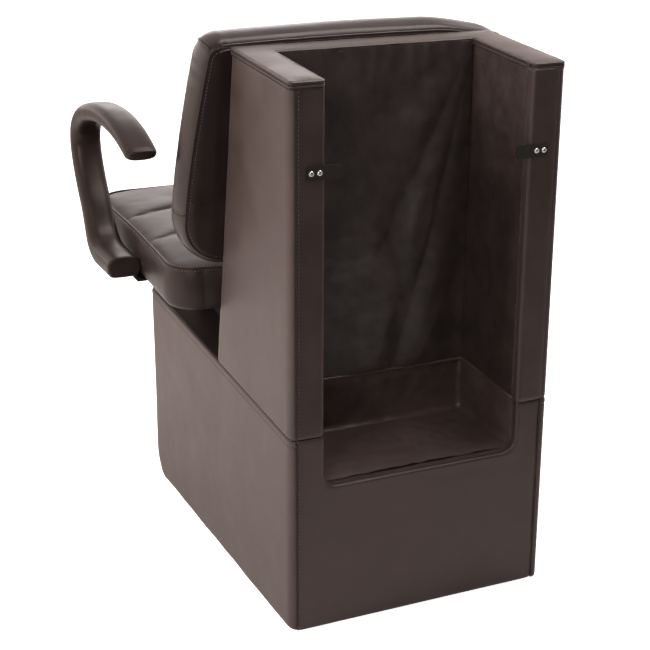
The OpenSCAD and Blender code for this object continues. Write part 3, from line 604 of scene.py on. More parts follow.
# Dark tubes along seams and grooves: painted seam shade that stands in for the shade those grooves hold, not real
# thread.
SEAM_SHADE = WovenCloth("painted_seam_shade", "#0b0706", 0.75, record_slot="brown_vinyl", light="#120c0a", thread_mm=0.8)
ARM_FOAM = MouldedFoam("moulded_urethane", "#1c1614", 0.37, record_slot="arm_foam")
BLACK_STEEL = CoatedSteel("black_painted_steel", "#17120f", 0.38, record_slot="black_steel", worn="#2a2320")
ZINC = CoatedSteel("zinc_plated_steel", "#c9c8c6", 0.28, metallic=1.0, record_slot="plated_steel", worn="#a3a19d")
BARE_STEEL = CoatedSteel(
    "bare_steel_strip", "#8d8a86", 0.42, metallic=1.0, record_slot="bare_steel", worn="#6d6864"
)
NYLON = Grained("white_nylon", "#d9d6cd", 0.4, record_slot="glide_nylon", dark="#cfccc2", grain_mm=9.0)
PAINTED = Grained("black_painted_board", "#191413", 0.5, record_slot="painted_board", dark="#100c0b")
PLYWOOD = Grained("stained_plywood", "#2c2019", 0.62, record_slot="plywood", dark="#1e1510")

NODE_FINISHES: tuple[tuple[tuple[str, ...], Finish], ...] = (
    (("arm_core",), BARE_STEEL),
    (("arm_plate", "dryer_strap"), BLACK_STEEL),
    (("screws", "bolts", "nails"), ZINC),
    (("glides",), NYLON),
    (("riser",), PAINTED),
    (("seat_dust",), DUST),
    (("cushion", "cover", "cap"), VINYL),
    (("lining",), LINING),
    (("arm_left", "arm_right"), ARM_FOAM),
)


def finish_of(node: str) -> Finish:
    """The finish of a solid that stays as it is, by its name; what no rule names is plywood."""
    for words, finish in NODE_FINISHES:
        if any(w in node for w in words):
            return finish
    return PLYWOOD


@dataclass
class Dressing:
    """Turns finished forms into pieces of the scene."""

    made: list[str] = field(default_factory=list)

    def add(
        self, name: str, bm: Form, finish: Finish, nodes: Iterable[str] = (), thick: float = 0.0,
        subdivide: int = 0, fill: float | None = None, sharp: float | None = None,
    ) -> bpy.types.Object:
        """Makes a piece from a form in millimetres.

        Args:
            name: the piece's name.
            bm: its form, which is freed.
            finish: its material.
            nodes: solids that it stands for.
            thick: wall given inwards by a Solidify modifier, in millimetres.
            subdivide: levels of a Subdivision Surface modifier.
            fill: how full it is where it is padded; not used.
            sharp: angle in degrees past which edges shade sharp.

        Returns:
            The piece's object.
        """
        bmesh.ops.transform(bm, matrix=Matrix.Scale(MM, 4), verts=bm.verts[:])
        for f in bm.faces:
            f.smooth = True
        if sharp is not None:
            for e in bm.edges:
                e.smooth = e.calc_face_angle(0.0) < math.radians(sharp)
        mesh = mesh_of(name, bm)
        mesh.materials.append(finish.material())
        obj = in_scene(name, mesh)
        if thick:
            wall = obj.modifiers.new("wall", "SOLIDIFY")
            wall.thickness, wall.offset = thick * MM, -1.0
        if subdivide:
            sub = obj.modifiers.new("smooth", "SUBSURF")
            sub.levels = sub.render_levels = subdivide
        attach(obj, "root")
        if nodes:
            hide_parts(*nodes)
        self.made.append(name)
        LOG.info("%s: %d faces", name, len(mesh.polygons))
        return obj

    def skin(
        self, name: str, bm: Form, way: Sequence[float], cover: str, thick: float = 2.4, finish: Finish = VINYL
    ) -> None:
        """Adds the padded skin that stands for one cover, with its faces turned one way."""
        face_way(bm, way)
        self.add(name, bm, finish, [cover], thick=thick, fill=1.0)


@dataclass
class SideSkin:
    """Padded skin of a side wall that turns round both upright corners; a vertex is a station along and one up."""

    side: Side
    low: Callable[[float], float]  # height of the lower edge by depth
    high: Callable[[float], float]  # height of the upper edge by depth
    front: Callable[[float], float]  # depth of the front edge by height
    ups: list[Triple]  # inset, share of the height, and millimetres added to it, at each station up
    round: float = 9.6  # of the upright corners, along x
    roll: float = 20.0  # of the same corners, along the depth
    lap: float = 1.0  # beyond each corner, up to the seam
    seed: float = 0.0

    def stations(self) -> list[tuple[Run, float]]:
        """Stations from the front lap round both corners to the rear lap."""
        out = [(Run.FRONT_LAP, self.lap * t) for t in (1, 0.7, 0.35)]
        out += [(Run.FRONT_ARC, a) for a in steps(0, 90, 7)]
        out += [(Run.SIDE, s) for s in steps(0.02, 0.98, 44)]
        out += [(Run.REAR_ARC, a) for a in steps(0, 90, 10)]
        return out + [(Run.REAR_LAP, self.lap * t) for t in (0.3, 0.6, 0.85, 1)]

    def plan(self, where: tuple[Run, float], far: float) -> tuple[float, float, float, float]:
        """Plan place and way out of a station.

        Args:
            where: the station.
            far: depth of the front edge at this height.

        Returns:
            x, depth, and the way out in x and in depth, for the left side.
        """
        kind, t = where
        r, long, x = self.round, self.roll, OUTER_X
        if kind is Run.FRONT_LAP:
            return x - r - t, far, 0.0, 1.0
        if kind is Run.REAR_LAP:
            return x - r - t, 0.0, 0.0, -1.0
        if kind is Run.SIDE:
            return x, far - long - (far - 2 * long) * t, 1.0, 0.0
        a = math.radians(t)
        if kind is Run.FRONT_ARC:
            return x - r + r * math.sin(a), far - long + long * math.cos(a), math.sin(a), math.cos(a)
        return x - r + r * math.cos(a), long - long * math.sin(a), math.cos(a), -math.sin(a)

    def place(self, where: tuple[Run, float], up: Triple) -> Vector:
        """Place of a vertex, with the cloth's slackness and the seams' puckers."""
        (inset, share, extra), (kind, t) = up, where
        level = self.low(0) + share * (self.high(0) - self.low(0)) + extra
        far = self.front(level)
        x, depth, ox, od = self.plan(where, far)
        z = self.low(depth) + share * (self.high(depth) - self.low(depth)) + extra
        p = point(x * self.side.value, depth, z)
        calm = min(1.0, max(0.0, inset * -0.2 + 1)) * smooth(0, 12, min(z - self.low(depth), self.high(depth) - z))
        swell = 0.55 * ripple(p, 130, self.seed) + 0.22 * ripple(p, 34, self.seed + 4)
        if kind is Run.SIDE:
            swell *= calm
            swell -= (
                0.5 * pucker(z, depth - self.roll, 9.0, 13.0, self.seed)
                + 0.35 * pucker(z, far - self.roll - depth, 8.0, 15.0, self.seed + 2)
            )
        elif kind in (Run.REAR_ARC, Run.REAR_LAP):
            away = self.lap - t if kind is Run.REAR_LAP else self.lap + self.round * math.radians(90 - t)
            swell = -1.1 * pucker(z, away, 4.5, 11.0, self.seed) - 0.25 * pucker(z, 0.0, 9.0, 13.0, self.seed)
            swell -= 1.0 if away < 0.3 else 0.0
        elif kind is Run.FRONT_LAP:
            away = self.lap - t
            swell = -0.9 * pucker(z, away, 4.5, 12.0, self.seed + 3) - (0.9 if away < 0.3 else 0.0)
        move = swell - inset
        return p + Vector((ox * self.side.value * move, -od * move, 0))

    def build(
        self, dress: Dressing, kind: str, x: float, ends: tuple[float, float], beside: float, lift: float,
        count: int,
    ) -> None:
        """Builds the skin, a dark tube of painted shade on its rear seam, and stitches beside that seam and the
        front lap.

        Args:
            dress: receives the pieces.
            kind: sub-assembly that their names start with.
            x: place of the seam.
            ends: heights of its ends.
            beside: distance of the stitches from the seam.
            lift: how far they stand off the rear face.
            count: spans of both lines.
        """
        tag, sign, (low, high) = self.side.tag, self.side.value, ends
        skin = grid_form(self.stations(), self.ups, self.place)
        dress.skin(f"{kind}_side_skin_{tag}", skin, (sign, 0, 0), f"{kind}_cover_{tag}", thick=2.6)
        bm = bmesh.new()
        front = [self.place((Run.FRONT_LAP, self.lap - 0.2), u) for u in self.ups if u[0] < 0.2]
        stitch_row(bm, front, Vector((0, -1, 0)), LAP_STITCH)
        rear = [point(sign * (x - beside), -lift, z) for z in steps(low + 2, high - 2, count)]
        stitch_row(bm, rear, Vector((0, 1, 0)), REAR_STITCH)
        # the seam's tube is painted shade: a dark line along the rear seam
        seam = [point(sign * x, -0.1, z) for z in steps(low, high, count)]
        dress.add(f"{kind}_rear_seam_{tag}", tube(seam, radius=0.8, sides=6), SEAM_SHADE)
        dress.add(f"{kind}_side_stitches_{tag}", bm, THREAD)


@dataclass
class BaseUpholstery:
    """Skins of the box under the seat: two sides, rear with its notch, front over the toe, and deck."""

    low_z: float = 4.0  # lower edge, a little over the floor
    length: float = 663.0
    toe_r: float = 50.0
    notch_z: float = 241.0  # floor of the notch
    notch_r: float = 22.0
    lip_d: float = 19.0  # how far the rear skin turns in over the notch's edge
    edge_roll: float = 5.2  # of the rear skin's edges

    def far(self, z: float) -> float:
        """Depth of the front at height z, where the toe is rounded."""
        rest = self.low_z + self.toe_r - z
        if rest <= 0:
            return self.length
        return self.length - self.toe_r + math.sqrt(max(self.toe_r**2 - min(rest, self.toe_r) ** 2, 0))

    def hem(self, depth: float) -> float:
        """Height of the bottom hem, which waves a little where it is stapled under."""
        return self.low_z + 0.9 + 0.9 * math.sin(depth / 23.0) * math.cos(depth / 61.0)

    def deck_at(self, depth: float) -> float:
        """Height of the deck."""
        return slope(DECK_Z, depth)

    def side_ups(self) -> list[Triple]:
        """Stations up a side: turned hem, wall, sewn band and rolled top edge."""
        ups = [(5.0, 0.0, 0.4), (2.2, 0.0, 0.1), (0.5, 0.0, 1.4), (0.0, 0.0, 4.0), (0.0, 0.0, 8.0)]
        ups += [(0.0, s, 0.0) for s in steps(0.045, 0.955, 62)]
        ups += [
            (0.0, 1.0, -12.0), (0.25, 1.0, -10.4), (0.9, 1.0, -9.4), (0.25, 1.0, -8.6), (-0.35, 1.0, -7.0),
            (-0.45, 1.0, -4.6),
        ]
        return ups + [(0.2, 1.0, -2.4), (1.1, 1.0, -0.9), (2.6, 1.0, 0.0), (4.6, 1.0, 0.1), (6.8, 1.0, -0.6)]

    def sides(self, dress: Dressing) -> None:
        """Both side skins with the stitches of their rear laps."""
        for side in Side:
            skin = SideSkin(side, self.hem, self.deck_at, self.far, self.side_ups(), seed=3.0 * side.value)
            ends = (self.low_z + 2, DECK_Z - 3)
            skin.build(dress, "base", LAP_X, ends, beside=3.2, lift=0.45, count=40)

    def rear(self, dress: Dressing) -> None:
        """Rear skin with its notch, whose edge is rolled over the lip."""
        x, top = LAP_X, DECK_Z - 0.4
        plan = [
            (-x, self.low_z), (x, self.low_z), (x, top), (BAY_X, top), (BAY_X, self.notch_z),
            (-BAY_X, self.notch_z), (-BAY_X, top), (-x, top),
        ]
        corners, rounds = [point(a, 0, b) for a, b in plan], {4: self.notch_r, 5: self.notch_r}
        turns = {3: self.lip_d, 4: self.lip_d, 5: self.lip_d, 2: 9.0, 6: 9.0}
        bm = rolled_skin(
            corners, rounds, lambda i: turns.get(i, 4.0), Vector((0, -1, 0)), roll=self.edge_roll, cell=9.0
        )
        for v in bm.verts:
            depth = REAR_Y - v.co.y
            if depth > self.edge_roll + 0.1:
                wave = 0.7 * ripple(v.co, 18, 5.0)
                aside = math.copysign(wave, -v.co.x) if abs(abs(v.co.x) - BAY_X) < 2 else 0
                v.co += Vector((aside, 0, wave if abs(v.co.z - self.notch_z) < 3 else 0))
                continue
            swell = 0.6 * ripple(v.co, 110, 9.0) + 0.3 * ripple(v.co, 30, 2.0)
            away = x - abs(v.co.x)
            swell -= 1.0 * pucker(v.co.z, away, 6.0, 12.0, 7.0)
            lip = max(abs(v.co.x) - BAY_X, self.notch_z - v.co.z)
            if v.co.z > self.notch_z - 30 and 0 <= lip < 30:
                swell += 0.7 * math.exp(-(((lip - 6) / 6) ** 2))
                swell -= 0.5 * pucker(v.co.x + v.co.z, lip - 12, 5.0, 17.0, 1.0)
            v.co.y += swell * smooth(0, 2, REAR_Y + 0.5 - v.co.y + 2) - 0.25
        dress.skin("base_rear_skin", bm, (0, 1, 0), "base_cover_rear")

    def front(self, dress: Dressing) -> None:
        """Front skin, which curves under at the toe and turns over the deck's edge."""
        x = LAP_X
        low, high = self.low_z, slope(DECK_Z, self.length)
        profile = [(self.length - 48, low + 1.2), (self.length - 46, low + 0.2)]
        profile += [
            (self.length - self.toe_r + self.toe_r * math.sin(a), low + self.toe_r - self.toe_r * math.cos(a))
            for a in steps(0.08, math.pi / 2, 9)
        ]
        profile += [(self.length, z) for z in steps(low + self.toe_r + 8, high - 9, 40)]
        profile += [
            (self.length - 0.8, high - 6), (self.length + 0.2, high - 3), (self.length - 1.6, high - 0.6),
            (self.length - 4.5, high + 0.1), (self.length - 8.0, high - 0.4),
        ]

        def place(u: float, at: tuple[float, float]) -> Vector:
            """Vertex of the front skin."""
            p = point(u * x, at[0], at[1])
            away = x - abs(p.x)
            swell = 0.6 * ripple(p, 120, 6.0) - 1.0 * pucker(p.z, away, 6.0, 13.0, 8.0)
            return p + Vector((0, -swell + 0.2, 0))

        bm = grid_form(eased(46, 1.6), profile, place)
        dress.skin("base_front_skin", bm, (0, -1, 0), "base_cover_front")

    def deck(self, dress: Dressing) -> None:
        """Deck skin round the recess, mostly under the seat and the housing; its darker leathercloth is painted
        shade.
        """
        x, hole_x, hole_d = 218.0, 177.5, 197.0
        plan = [
            (-x, 4), (-hole_x, 4), (-hole_x, hole_d), (hole_x, hole_d), (hole_x, 4), (x, 4), (x, 655), (-x, 655)
        ]
        corners = [point(a, d, 0) for a, d in plan]
        bm = rolled_skin(corners, {}, lambda i: 1.6, Vector((0, 0, -1)), roll=0.8, cell=16.0)
        for v in bm.verts:
            v.co.z += slope(DECK_Z, REAR_Y - v.co.y) - 0.5 + 0.3 * ripple(v.co, 50, 12.0)
        dress.skin("base_deck_skin", bm, (0, 0, 1), "base_deck_cover", thick=1.6, finish=SHADED_DECK_VINYL)

    def build(self, dress: Dressing) -> None:
        """Builds every skin of the base."""
        self.sides(dress)
        self.rear(dress)
        self.front(dress)
        self.deck(dress)


@dataclass
class HousingUpholstery:
    """Skins of the upright box behind the backrest: sides, rear strips, leaning front and top cap."""

    cap_round: float = 7.0
    strip_round: float = 5.5
    ring_cell: float = 4.0  # spacing of the points on the cap's welts
    seam_x: float = 212.2  # where the rear strips meet the side skins

    def top(self, depth: float) -> float:
        """Height of the cap's lower edge."""
        return slope(ROOF_Z - SKIRT_H, depth)

    def bottom(self, depth: float) -> float:
        """Height of the deck."""
        return slope(DECK_Z, depth)

    def side_ups(self) -> list[Triple]:
        """Stations up a side: turned lower edge, wall, and the edge under the cap."""
        ups = [(5.0, 0.0, 0.4), (3.0, 0.0, 0.4), (1.5, 0.0, 1.2), (0.5, 0.0, 2.6), (0.0, 0.0, 4.6), (0.0, 0.0, 8.0)]
        return ups + [(0.0, s, 0.0) for s in steps(0.022, 0.98, 96)] + [(0.0, 1.0, -3.0), (0.7, 1.0, 1.0)]

    def sides(self, dress: Dressing) -> None:
        """Both side skins with the stitches of their rear and front laps."""
        for side in Side:
            skin = SideSkin(side, self.bottom, self.top, front_depth, self.side_ups(), seed=11.0 + side.value)
            ends = (DECK_Z + 1, ROOF_Z - SKIRT_H - 1)
            skin.build(dress, "housing", self.seam_x + 0.1, ends, beside=3.3, lift=0.5, count=60)

    def strips(self, dress: Dressing) -> None:
        """Rear strips, which turn round the bay's edge towards its lining."""
        r = self.strip_round
        path = [(self.seam_x + 1.0, 1.6), (self.seam_x - 0.4, 0.9), (self.seam_x - 2.0, 0.3)]
        path += [(x, 0.0) for x in steps(self.seam_x - 5, BAY_X + r + 1.5, 7)]
        path += [(BAY_X + r - r * math.sin(a), r - r * math.cos(a)) for a in steps(0.0, math.pi / 2, 6)]
        path += [(BAY_X, d) for d in (8.0, 11.0, 14.0)]
        for side in Side:

            def place(at: tuple[float, float], up: Triple) -> Vector:
                """Vertex of one strip."""
                x, depth = at
                z = self.bottom(depth) + up[1] * (self.top(depth) - self.bottom(depth)) + up[2]
                p = point(side.value * x, depth, z)
                swell = 0.5 * ripple(p, 70, 21.0) + 0.3 * ripple(p, 22, 23.0)
                swell -= 0.9 * pucker(z, self.seam_x - x, 6.0, 11.0, 5.0 + side.value)
                if depth > r:
                    wave = 0.9 * ripple(p, 26, 31.0) * smooth(r, 14, depth)
                    return p + Vector((-side.value * abs(wave), 0, 0))
                return p + Vector((0, swell - 0.15 - up[0], 0))

            bm = grid_form(path, self.side_ups(), place)
            cover = f"housing_rear_cover_{side.tag}"
            dress.skin(f"housing_rear_strip_{side.tag}", bm, (0, 1, 0), cover, thick=2.2)

    def front(self, dress: Dressing) -> None:
        """Leaning front skin behind the back cushion."""

        def place(u: float, v: float) -> Vector:
            """Vertex of the front skin."""
            level = DECK_Z + 1 + v * (ROOF_Z - SKIRT_H - DECK_Z)
            depth = front_depth(level)
            p = point(u * self.seam_x, depth, slope(level, depth))
            away = self.seam_x - abs(p.x)
            swell = 0.9 * ripple(p, 120, 41.0) - 1.2 * pucker(p.z, away, 7.0, 14.0, 42.0)
            return p + (swell - 0.4) * Vector((0, -math.cos(LEAN), math.sin(LEAN)))

        bm = grid_form(eased(40), steps(0, 1, 60), place)
        dress.skin("housing_front_skin", bm, (0, -1, 0), "housing_front_cover")

    def outline(self, grow: float = 0.0) -> list[tuple[float, float]]:
        """Corners of the cap's plan as x and depth, grown outwards."""
        g, far = grow, front_depth(ROOF_Z)
        return [
            (-OUTER_X - g, -g), (-BAY_X + g, -g), (-BAY_X + g, BAY_D - g), (BAY_X - g, BAY_D - g), (BAY_X - g, -g),
            (OUTER_X + g, -g), (OUTER_X + g, far + g), (-OUTER_X - g, far + g),
        ]

    def ring(self, grow: float, radius: float) -> list[Vector]:
        """Closed line round the cap's plan with rounded corners, at z zero."""

        def between(a: Vector, b: Vector) -> list[Vector]:
            """Points of the straight run from a to b, without its ends."""
            return [a.lerp(b, t) for t in steps(0, 1, max(1, round((b - a).length / self.ring_cell)))[1:-1]]

        corners = [point(x, d, 0) for x, d in self.outline(grow)]
        out: list[Vector] = []
        for i, c in enumerate(corners):
            a, b = corners[i - 1], corners[(i + 1) % len(corners)]
            p, q = c + (a - c).normalized() * radius, c + (b - c).normalized() * radius
            arc = [p.lerp(c, t).lerp(c.lerp(q, t), t) for t in steps(0, 1, 5)]
            out += (between(out[-1], arc[0]) if out else []) + arc
        return out + between(out[-1], out[0])

    def cap(self, dress: Dressing) -> None:
        """Padded top cap with its doubled welt all round; its middle and foot tubes are painted seam shade."""
        corners = [point(x, d, 0) for x, d in self.outline()]
        rounds = {i: self.cap_round for i in range(len(corners))}
        bm = rolled_skin(corners, rounds, lambda i: SKIRT_H + 1.5, Vector((0, 0, -1)), roll=4.4, cell=9.0)
        far = front_depth(ROOF_Z)
        for v in bm.verts:
            depth = REAR_Y - v.co.y
            x = abs(v.co.x)
            edge = min(OUTER_X - x, depth, far - depth)
            if depth < BAY_D and x > BAY_X - 1:
                edge = min(edge, x - BAY_X)
            elif x < BAY_X:
                edge = min(edge, abs(depth - BAY_D))
            else:
                edge = min(edge, math.hypot(x - BAY_X, max(0.0, depth - BAY_D)))
            top = smooth(-6, -1, v.co.z)
            pull = 0.8 * pucker(v.co.x + v.co.y, edge - 3, 6.0, 13.0, 51.0)
            v.co.z += top * (-0.4 + 0.9 * smooth(3, 20, edge) - pull + 0.5 * ripple(v.co, 45, 52.0))
            side = (1 - top) * 0.35 * ripple(v.co, 14, 53.0)
            v.co.x += math.copysign(side, v.co.x)
            v.co.y += side if depth < 90 else -side
            v.co.z += slope(ROOF_Z, depth) - 0.4
        dress.skin("housing_cap_skin", bm, (0, 0, 1), "housing_top_cap")
        # the middle and foot tubes are dark lines of painted seam shade; the upper and lower ones are vinyl welts
        for name, drop, radius, grow in (
            ("upper", 3.6, 1.5, -0.3), ("middle", 6.6, 0.8, 0.3), ("lower", 9.3, 1.7, -0.3),
            ("foot", 12.2, 1.1, -0.3),
        ):
            path = []
            for p in self.ring(grow, self.cap_round + 1.5):
                p.z = slope(ROOF_Z, REAR_Y - p.y) - drop + 0.4 * ripple(p, 22, 61.0)
                path.append(p)
            dress.add(
                f"housing_cap_welt_{name}", tube(path, radius, sides=8, closed=True),
                SEAM_SHADE if name in ("middle", "foot") else VINYL,
            )

    def build(self, dress: Dressing) -> None:
        """Builds every skin of the housing."""
        self.sides(dress)
        self.strips(dress)
        self.front(dress)
        self.cap(dress)


@dataclass
class DryerBay:
    """Loose linings of the bay, the recess under it, and the welt on the ledge between them."""

    recess_x: float = 175.5
    recess_d: float = 195.0
    floor_z: float = 241.0
    wall_h: float = 90.0  # of the recess lining as it is cut
    tuck: float = 4.0  # from the cap's top down to the wall linings' upper edge
    fold_h: float = 19.0
    # fall, width at the root, widening and share of the height of each fold
    folds: tuple[tuple[float, float, float, float], ...] = (
        (0.42, 0.04, 0.09, 0.9), (0.95, 0.04, 0.1, 1.0), (2.1, 0.06, 0.15, 1.0), (0.1, 0.025, 0.05, 0.45)
    )

    def fold(self, u: float, v: float) -> float:
        """Height of the folds that fan out from the upper corner on the sitter's right."""
        du = u + 1
        edge = max(0.0, (1 - u * u) * math.sin(math.pi * v))
        best = max(
            h * math.exp(-(((1 - v - fall * du) / (root + widen * du + fall * widen)) ** 2))
            for fall, root, widen, h in self.folds
        )
        return self.fold_h * best * math.sqrt(edge) * math.exp(-du * du / 1.6)

    def rear(self, dress: Dressing) -> None:
        """Rear lining: tacked along its edges, slack between, gathered under the cap."""
        z0, z1 = slope(DECK_Z, BAY_D), slope(ROOF_Z - self.tuck, BAY_D)

        def place(u: float, v: float) -> Vector:
            """Vertex of the rear lining."""
            t = (v + 1) / 2
            p = point(u * BAY_X, BAY_D, z0 + t * (z1 - z0))
            calm = math.sqrt(max(0.0, (1 - u * u) * (1 - v * v)))
            tucks = 0.5 + 0.5 * math.sin(p.x / 5.2 + 3.4 * ripple(p, 60, 3.0))
            gather = math.exp(-((1 - t) * (z1 - z0) / 34)) * tucks
            waves = 0.5 + 0.5 * math.sin(p.x / 17.0 + 2.6 * ripple(Vector((p.x, 0, p.z * 0.3)), 90, 6.0))
            hang = (2.2 + 4.6 * smooth(0.75, 0.3, t)) * waves
            slack = calm * (hang + 3.4 * ripple(p, 52, 8.0) + 1.3 * ripple(p, 19, 5.0))
            tack = 1.3 * pucker(p.z, BAY_X - abs(p.x), 12.0, 27.0, 17.0)
            lift = self.fold(u, t) + slack + 3.2 * gather * (1 - abs(u) ** 6) + tack
            return p + Vector((0, max(-0.5, min(lift + 0.8, 15.5)), 0))

        bm = grid_form(eased(96, 1.25), eased(150, 1.25), place)
        face_way(bm, (0, 1, 0))
        obj = dress.add("bay_rear_lining", bm, LINING, [Lining.REAR.value])

    def sides(self, dress: Dressing) -> None:
        """Side linings, one cut each side, tacked under the rear strips."""
        both = bmesh.new()
        for side in Side:

            def place(u: float, v: float) -> Vector:
                """Vertex of one side lining."""
                depth = 9.0 + (u + 1) / 2 * (BAY_D - 8.6)
                z = slope(DECK_Z, depth) + (v + 1) / 2 * (ROOF_Z - self.tuck - DECK_Z)
                p = point(side.value * BAY_X, depth, z)
                calm = math.sqrt(max(0.0, (1 - u * u) * (1 - v * v)))
                wander = 2.4 * ripple(Vector((0, depth, z * 0.3)), 80, 14.0 + side.value)
                hang = 1.8 * (0.5 + 0.5 * math.sin(depth / 12.0 + wander))
                lift = calm * (hang + abs(2.4 * ripple(p, 40, 15.0))) + 2.0 * pucker(z, depth - 9, 9.0, 15.0, 16.0)
                return p + Vector((-side.value * (lift + 0.1), 0, 0))

            bm = grid_form(eased(40, 1.25), eased(130, 1.25), place)
            face_way(bm, (-side.value, 0, 0))
            take_in(both, bm)
        obj = dress.add("bay_side_linings_cloth", both, LINING, [Lining.SIDES.value])

    def hems(self, dress: Dressing) -> None:
        """Folded hems of the linings: beside each rear strip, and under the cap at the bay's back."""
        for side in Side:
            line = []
            for z in steps(DECK_Z + 8, ROOF_Z - 14, 110):
                p = point(side.value * (BAY_X - 1.6), 13.0, slope(z, 13.0))
                inwards = -side.value * abs(1.5 * ripple(p, 13, 84.0))
                line.append(p + Vector((inwards, 2.4 * ripple(p, 19, 85.0), 0)))
            dress.add(f"bay_lining_hem_{side.tag}", tube(line, radius=1.5, sides=8), WELT_VINYL)

    def recess(self, dress: Dressing) -> None:
        """Creased lining of the recess: an open box with soft inner corners, in a lighter leathercloth that is
        painted light.
        """
        bm = bmesh.new()
        bmesh.ops.create_cube(bm, size=1.0)
        x, near, far = self.recess_x, 19.0, self.recess_d
        for v in bm.verts:
            depth = near if v.co.y > 0 else far
            level = self.floor_z if v.co.z < 0 else slope(DECK_Z, depth) - 0.6
            v.co = point(math.copysign(x, v.co.x), depth, level)
        bm.normal_update()
        gone = [f for f in bm.faces if f.normal.y > 0.9 or f.normal.z > 0.5]
        bmesh.ops.delete(bm, geom=gone, context="FACES_ONLY")
        inner = [e for e in bm.edges if len(e.link_faces) == 2]
        bmesh.ops.bevel(bm, geom=inner, offset=9.0, affect="EDGES", segments=4, profile=0.5, material=-1)
        for axis in range(3):
            slice_grid(bm, axis, 5.0)
        centre = point(0, 60, self.floor_z + 90)
        bm.normal_update()
        for v in bm.verts:
            edge = min(slope(DECK_Z, REAR_Y - v.co.y) - v.co.z, 12.0) / 12.0
            crease = 1.0 - abs(ripple(v.co, 34, 71.0)) * 2.2
            lift = max(0.0, 2.1 * crease + 1.0 * ripple(v.co, 15, 72.0) + 1.4) * (0.35 + 0.65 * max(0.0, edge))
            v.co += (centre - v.co).normalized() * lift
        face_way(bm, centre=centre)
        # lighter leathercloth: painted light in the recess
        obj = dress.add("recess_lining_cloth", bm, RECESS, [Lining.RECESS.value])

    def ledge(self, dress: Dressing) -> None:
        """Welt where the wall linings end above the recess; its lighter leathercloth is a painted highlight."""
        path = [(BAY_X - 0.5, d) for d in steps(16, BAY_D - 6, 26)]
        path += [
            (BAY_X - 0.5 - 6 * (1 - math.cos(a)), BAY_D - 6 + 6 * math.sin(a)) for a in steps(0.3, math.pi / 2, 3)
        ]
        flank = path[:-1]
        path += [(x, BAY_D - 0.5) for x in steps(BAY_X - 9, -BAY_X + 9, 50)]
        path += [(-x, d) for x, d in reversed(flank)]
        line = []
        for x, d in path:
            p = point(x, d, slope(DECK_Z, d) + 1.5)
            wander = Vector((0.5 * ripple(p, 30, 81.0), 0.6 * ripple(p, 30, 82.0), 1.5 * ripple(p, 38, 83.0)))
            line.append(p + wander)
        dress.add("recess_ledge_welt", tube(line, radius=2.6, sides=10), RECESS)

    def build(self, dress: Dressing) -> None:
        """Builds the linings."""
        self.rear(dress)
        self.sides(dress)
        self.hems(dress)
        self.recess(dress)
        self.ledge(dress)


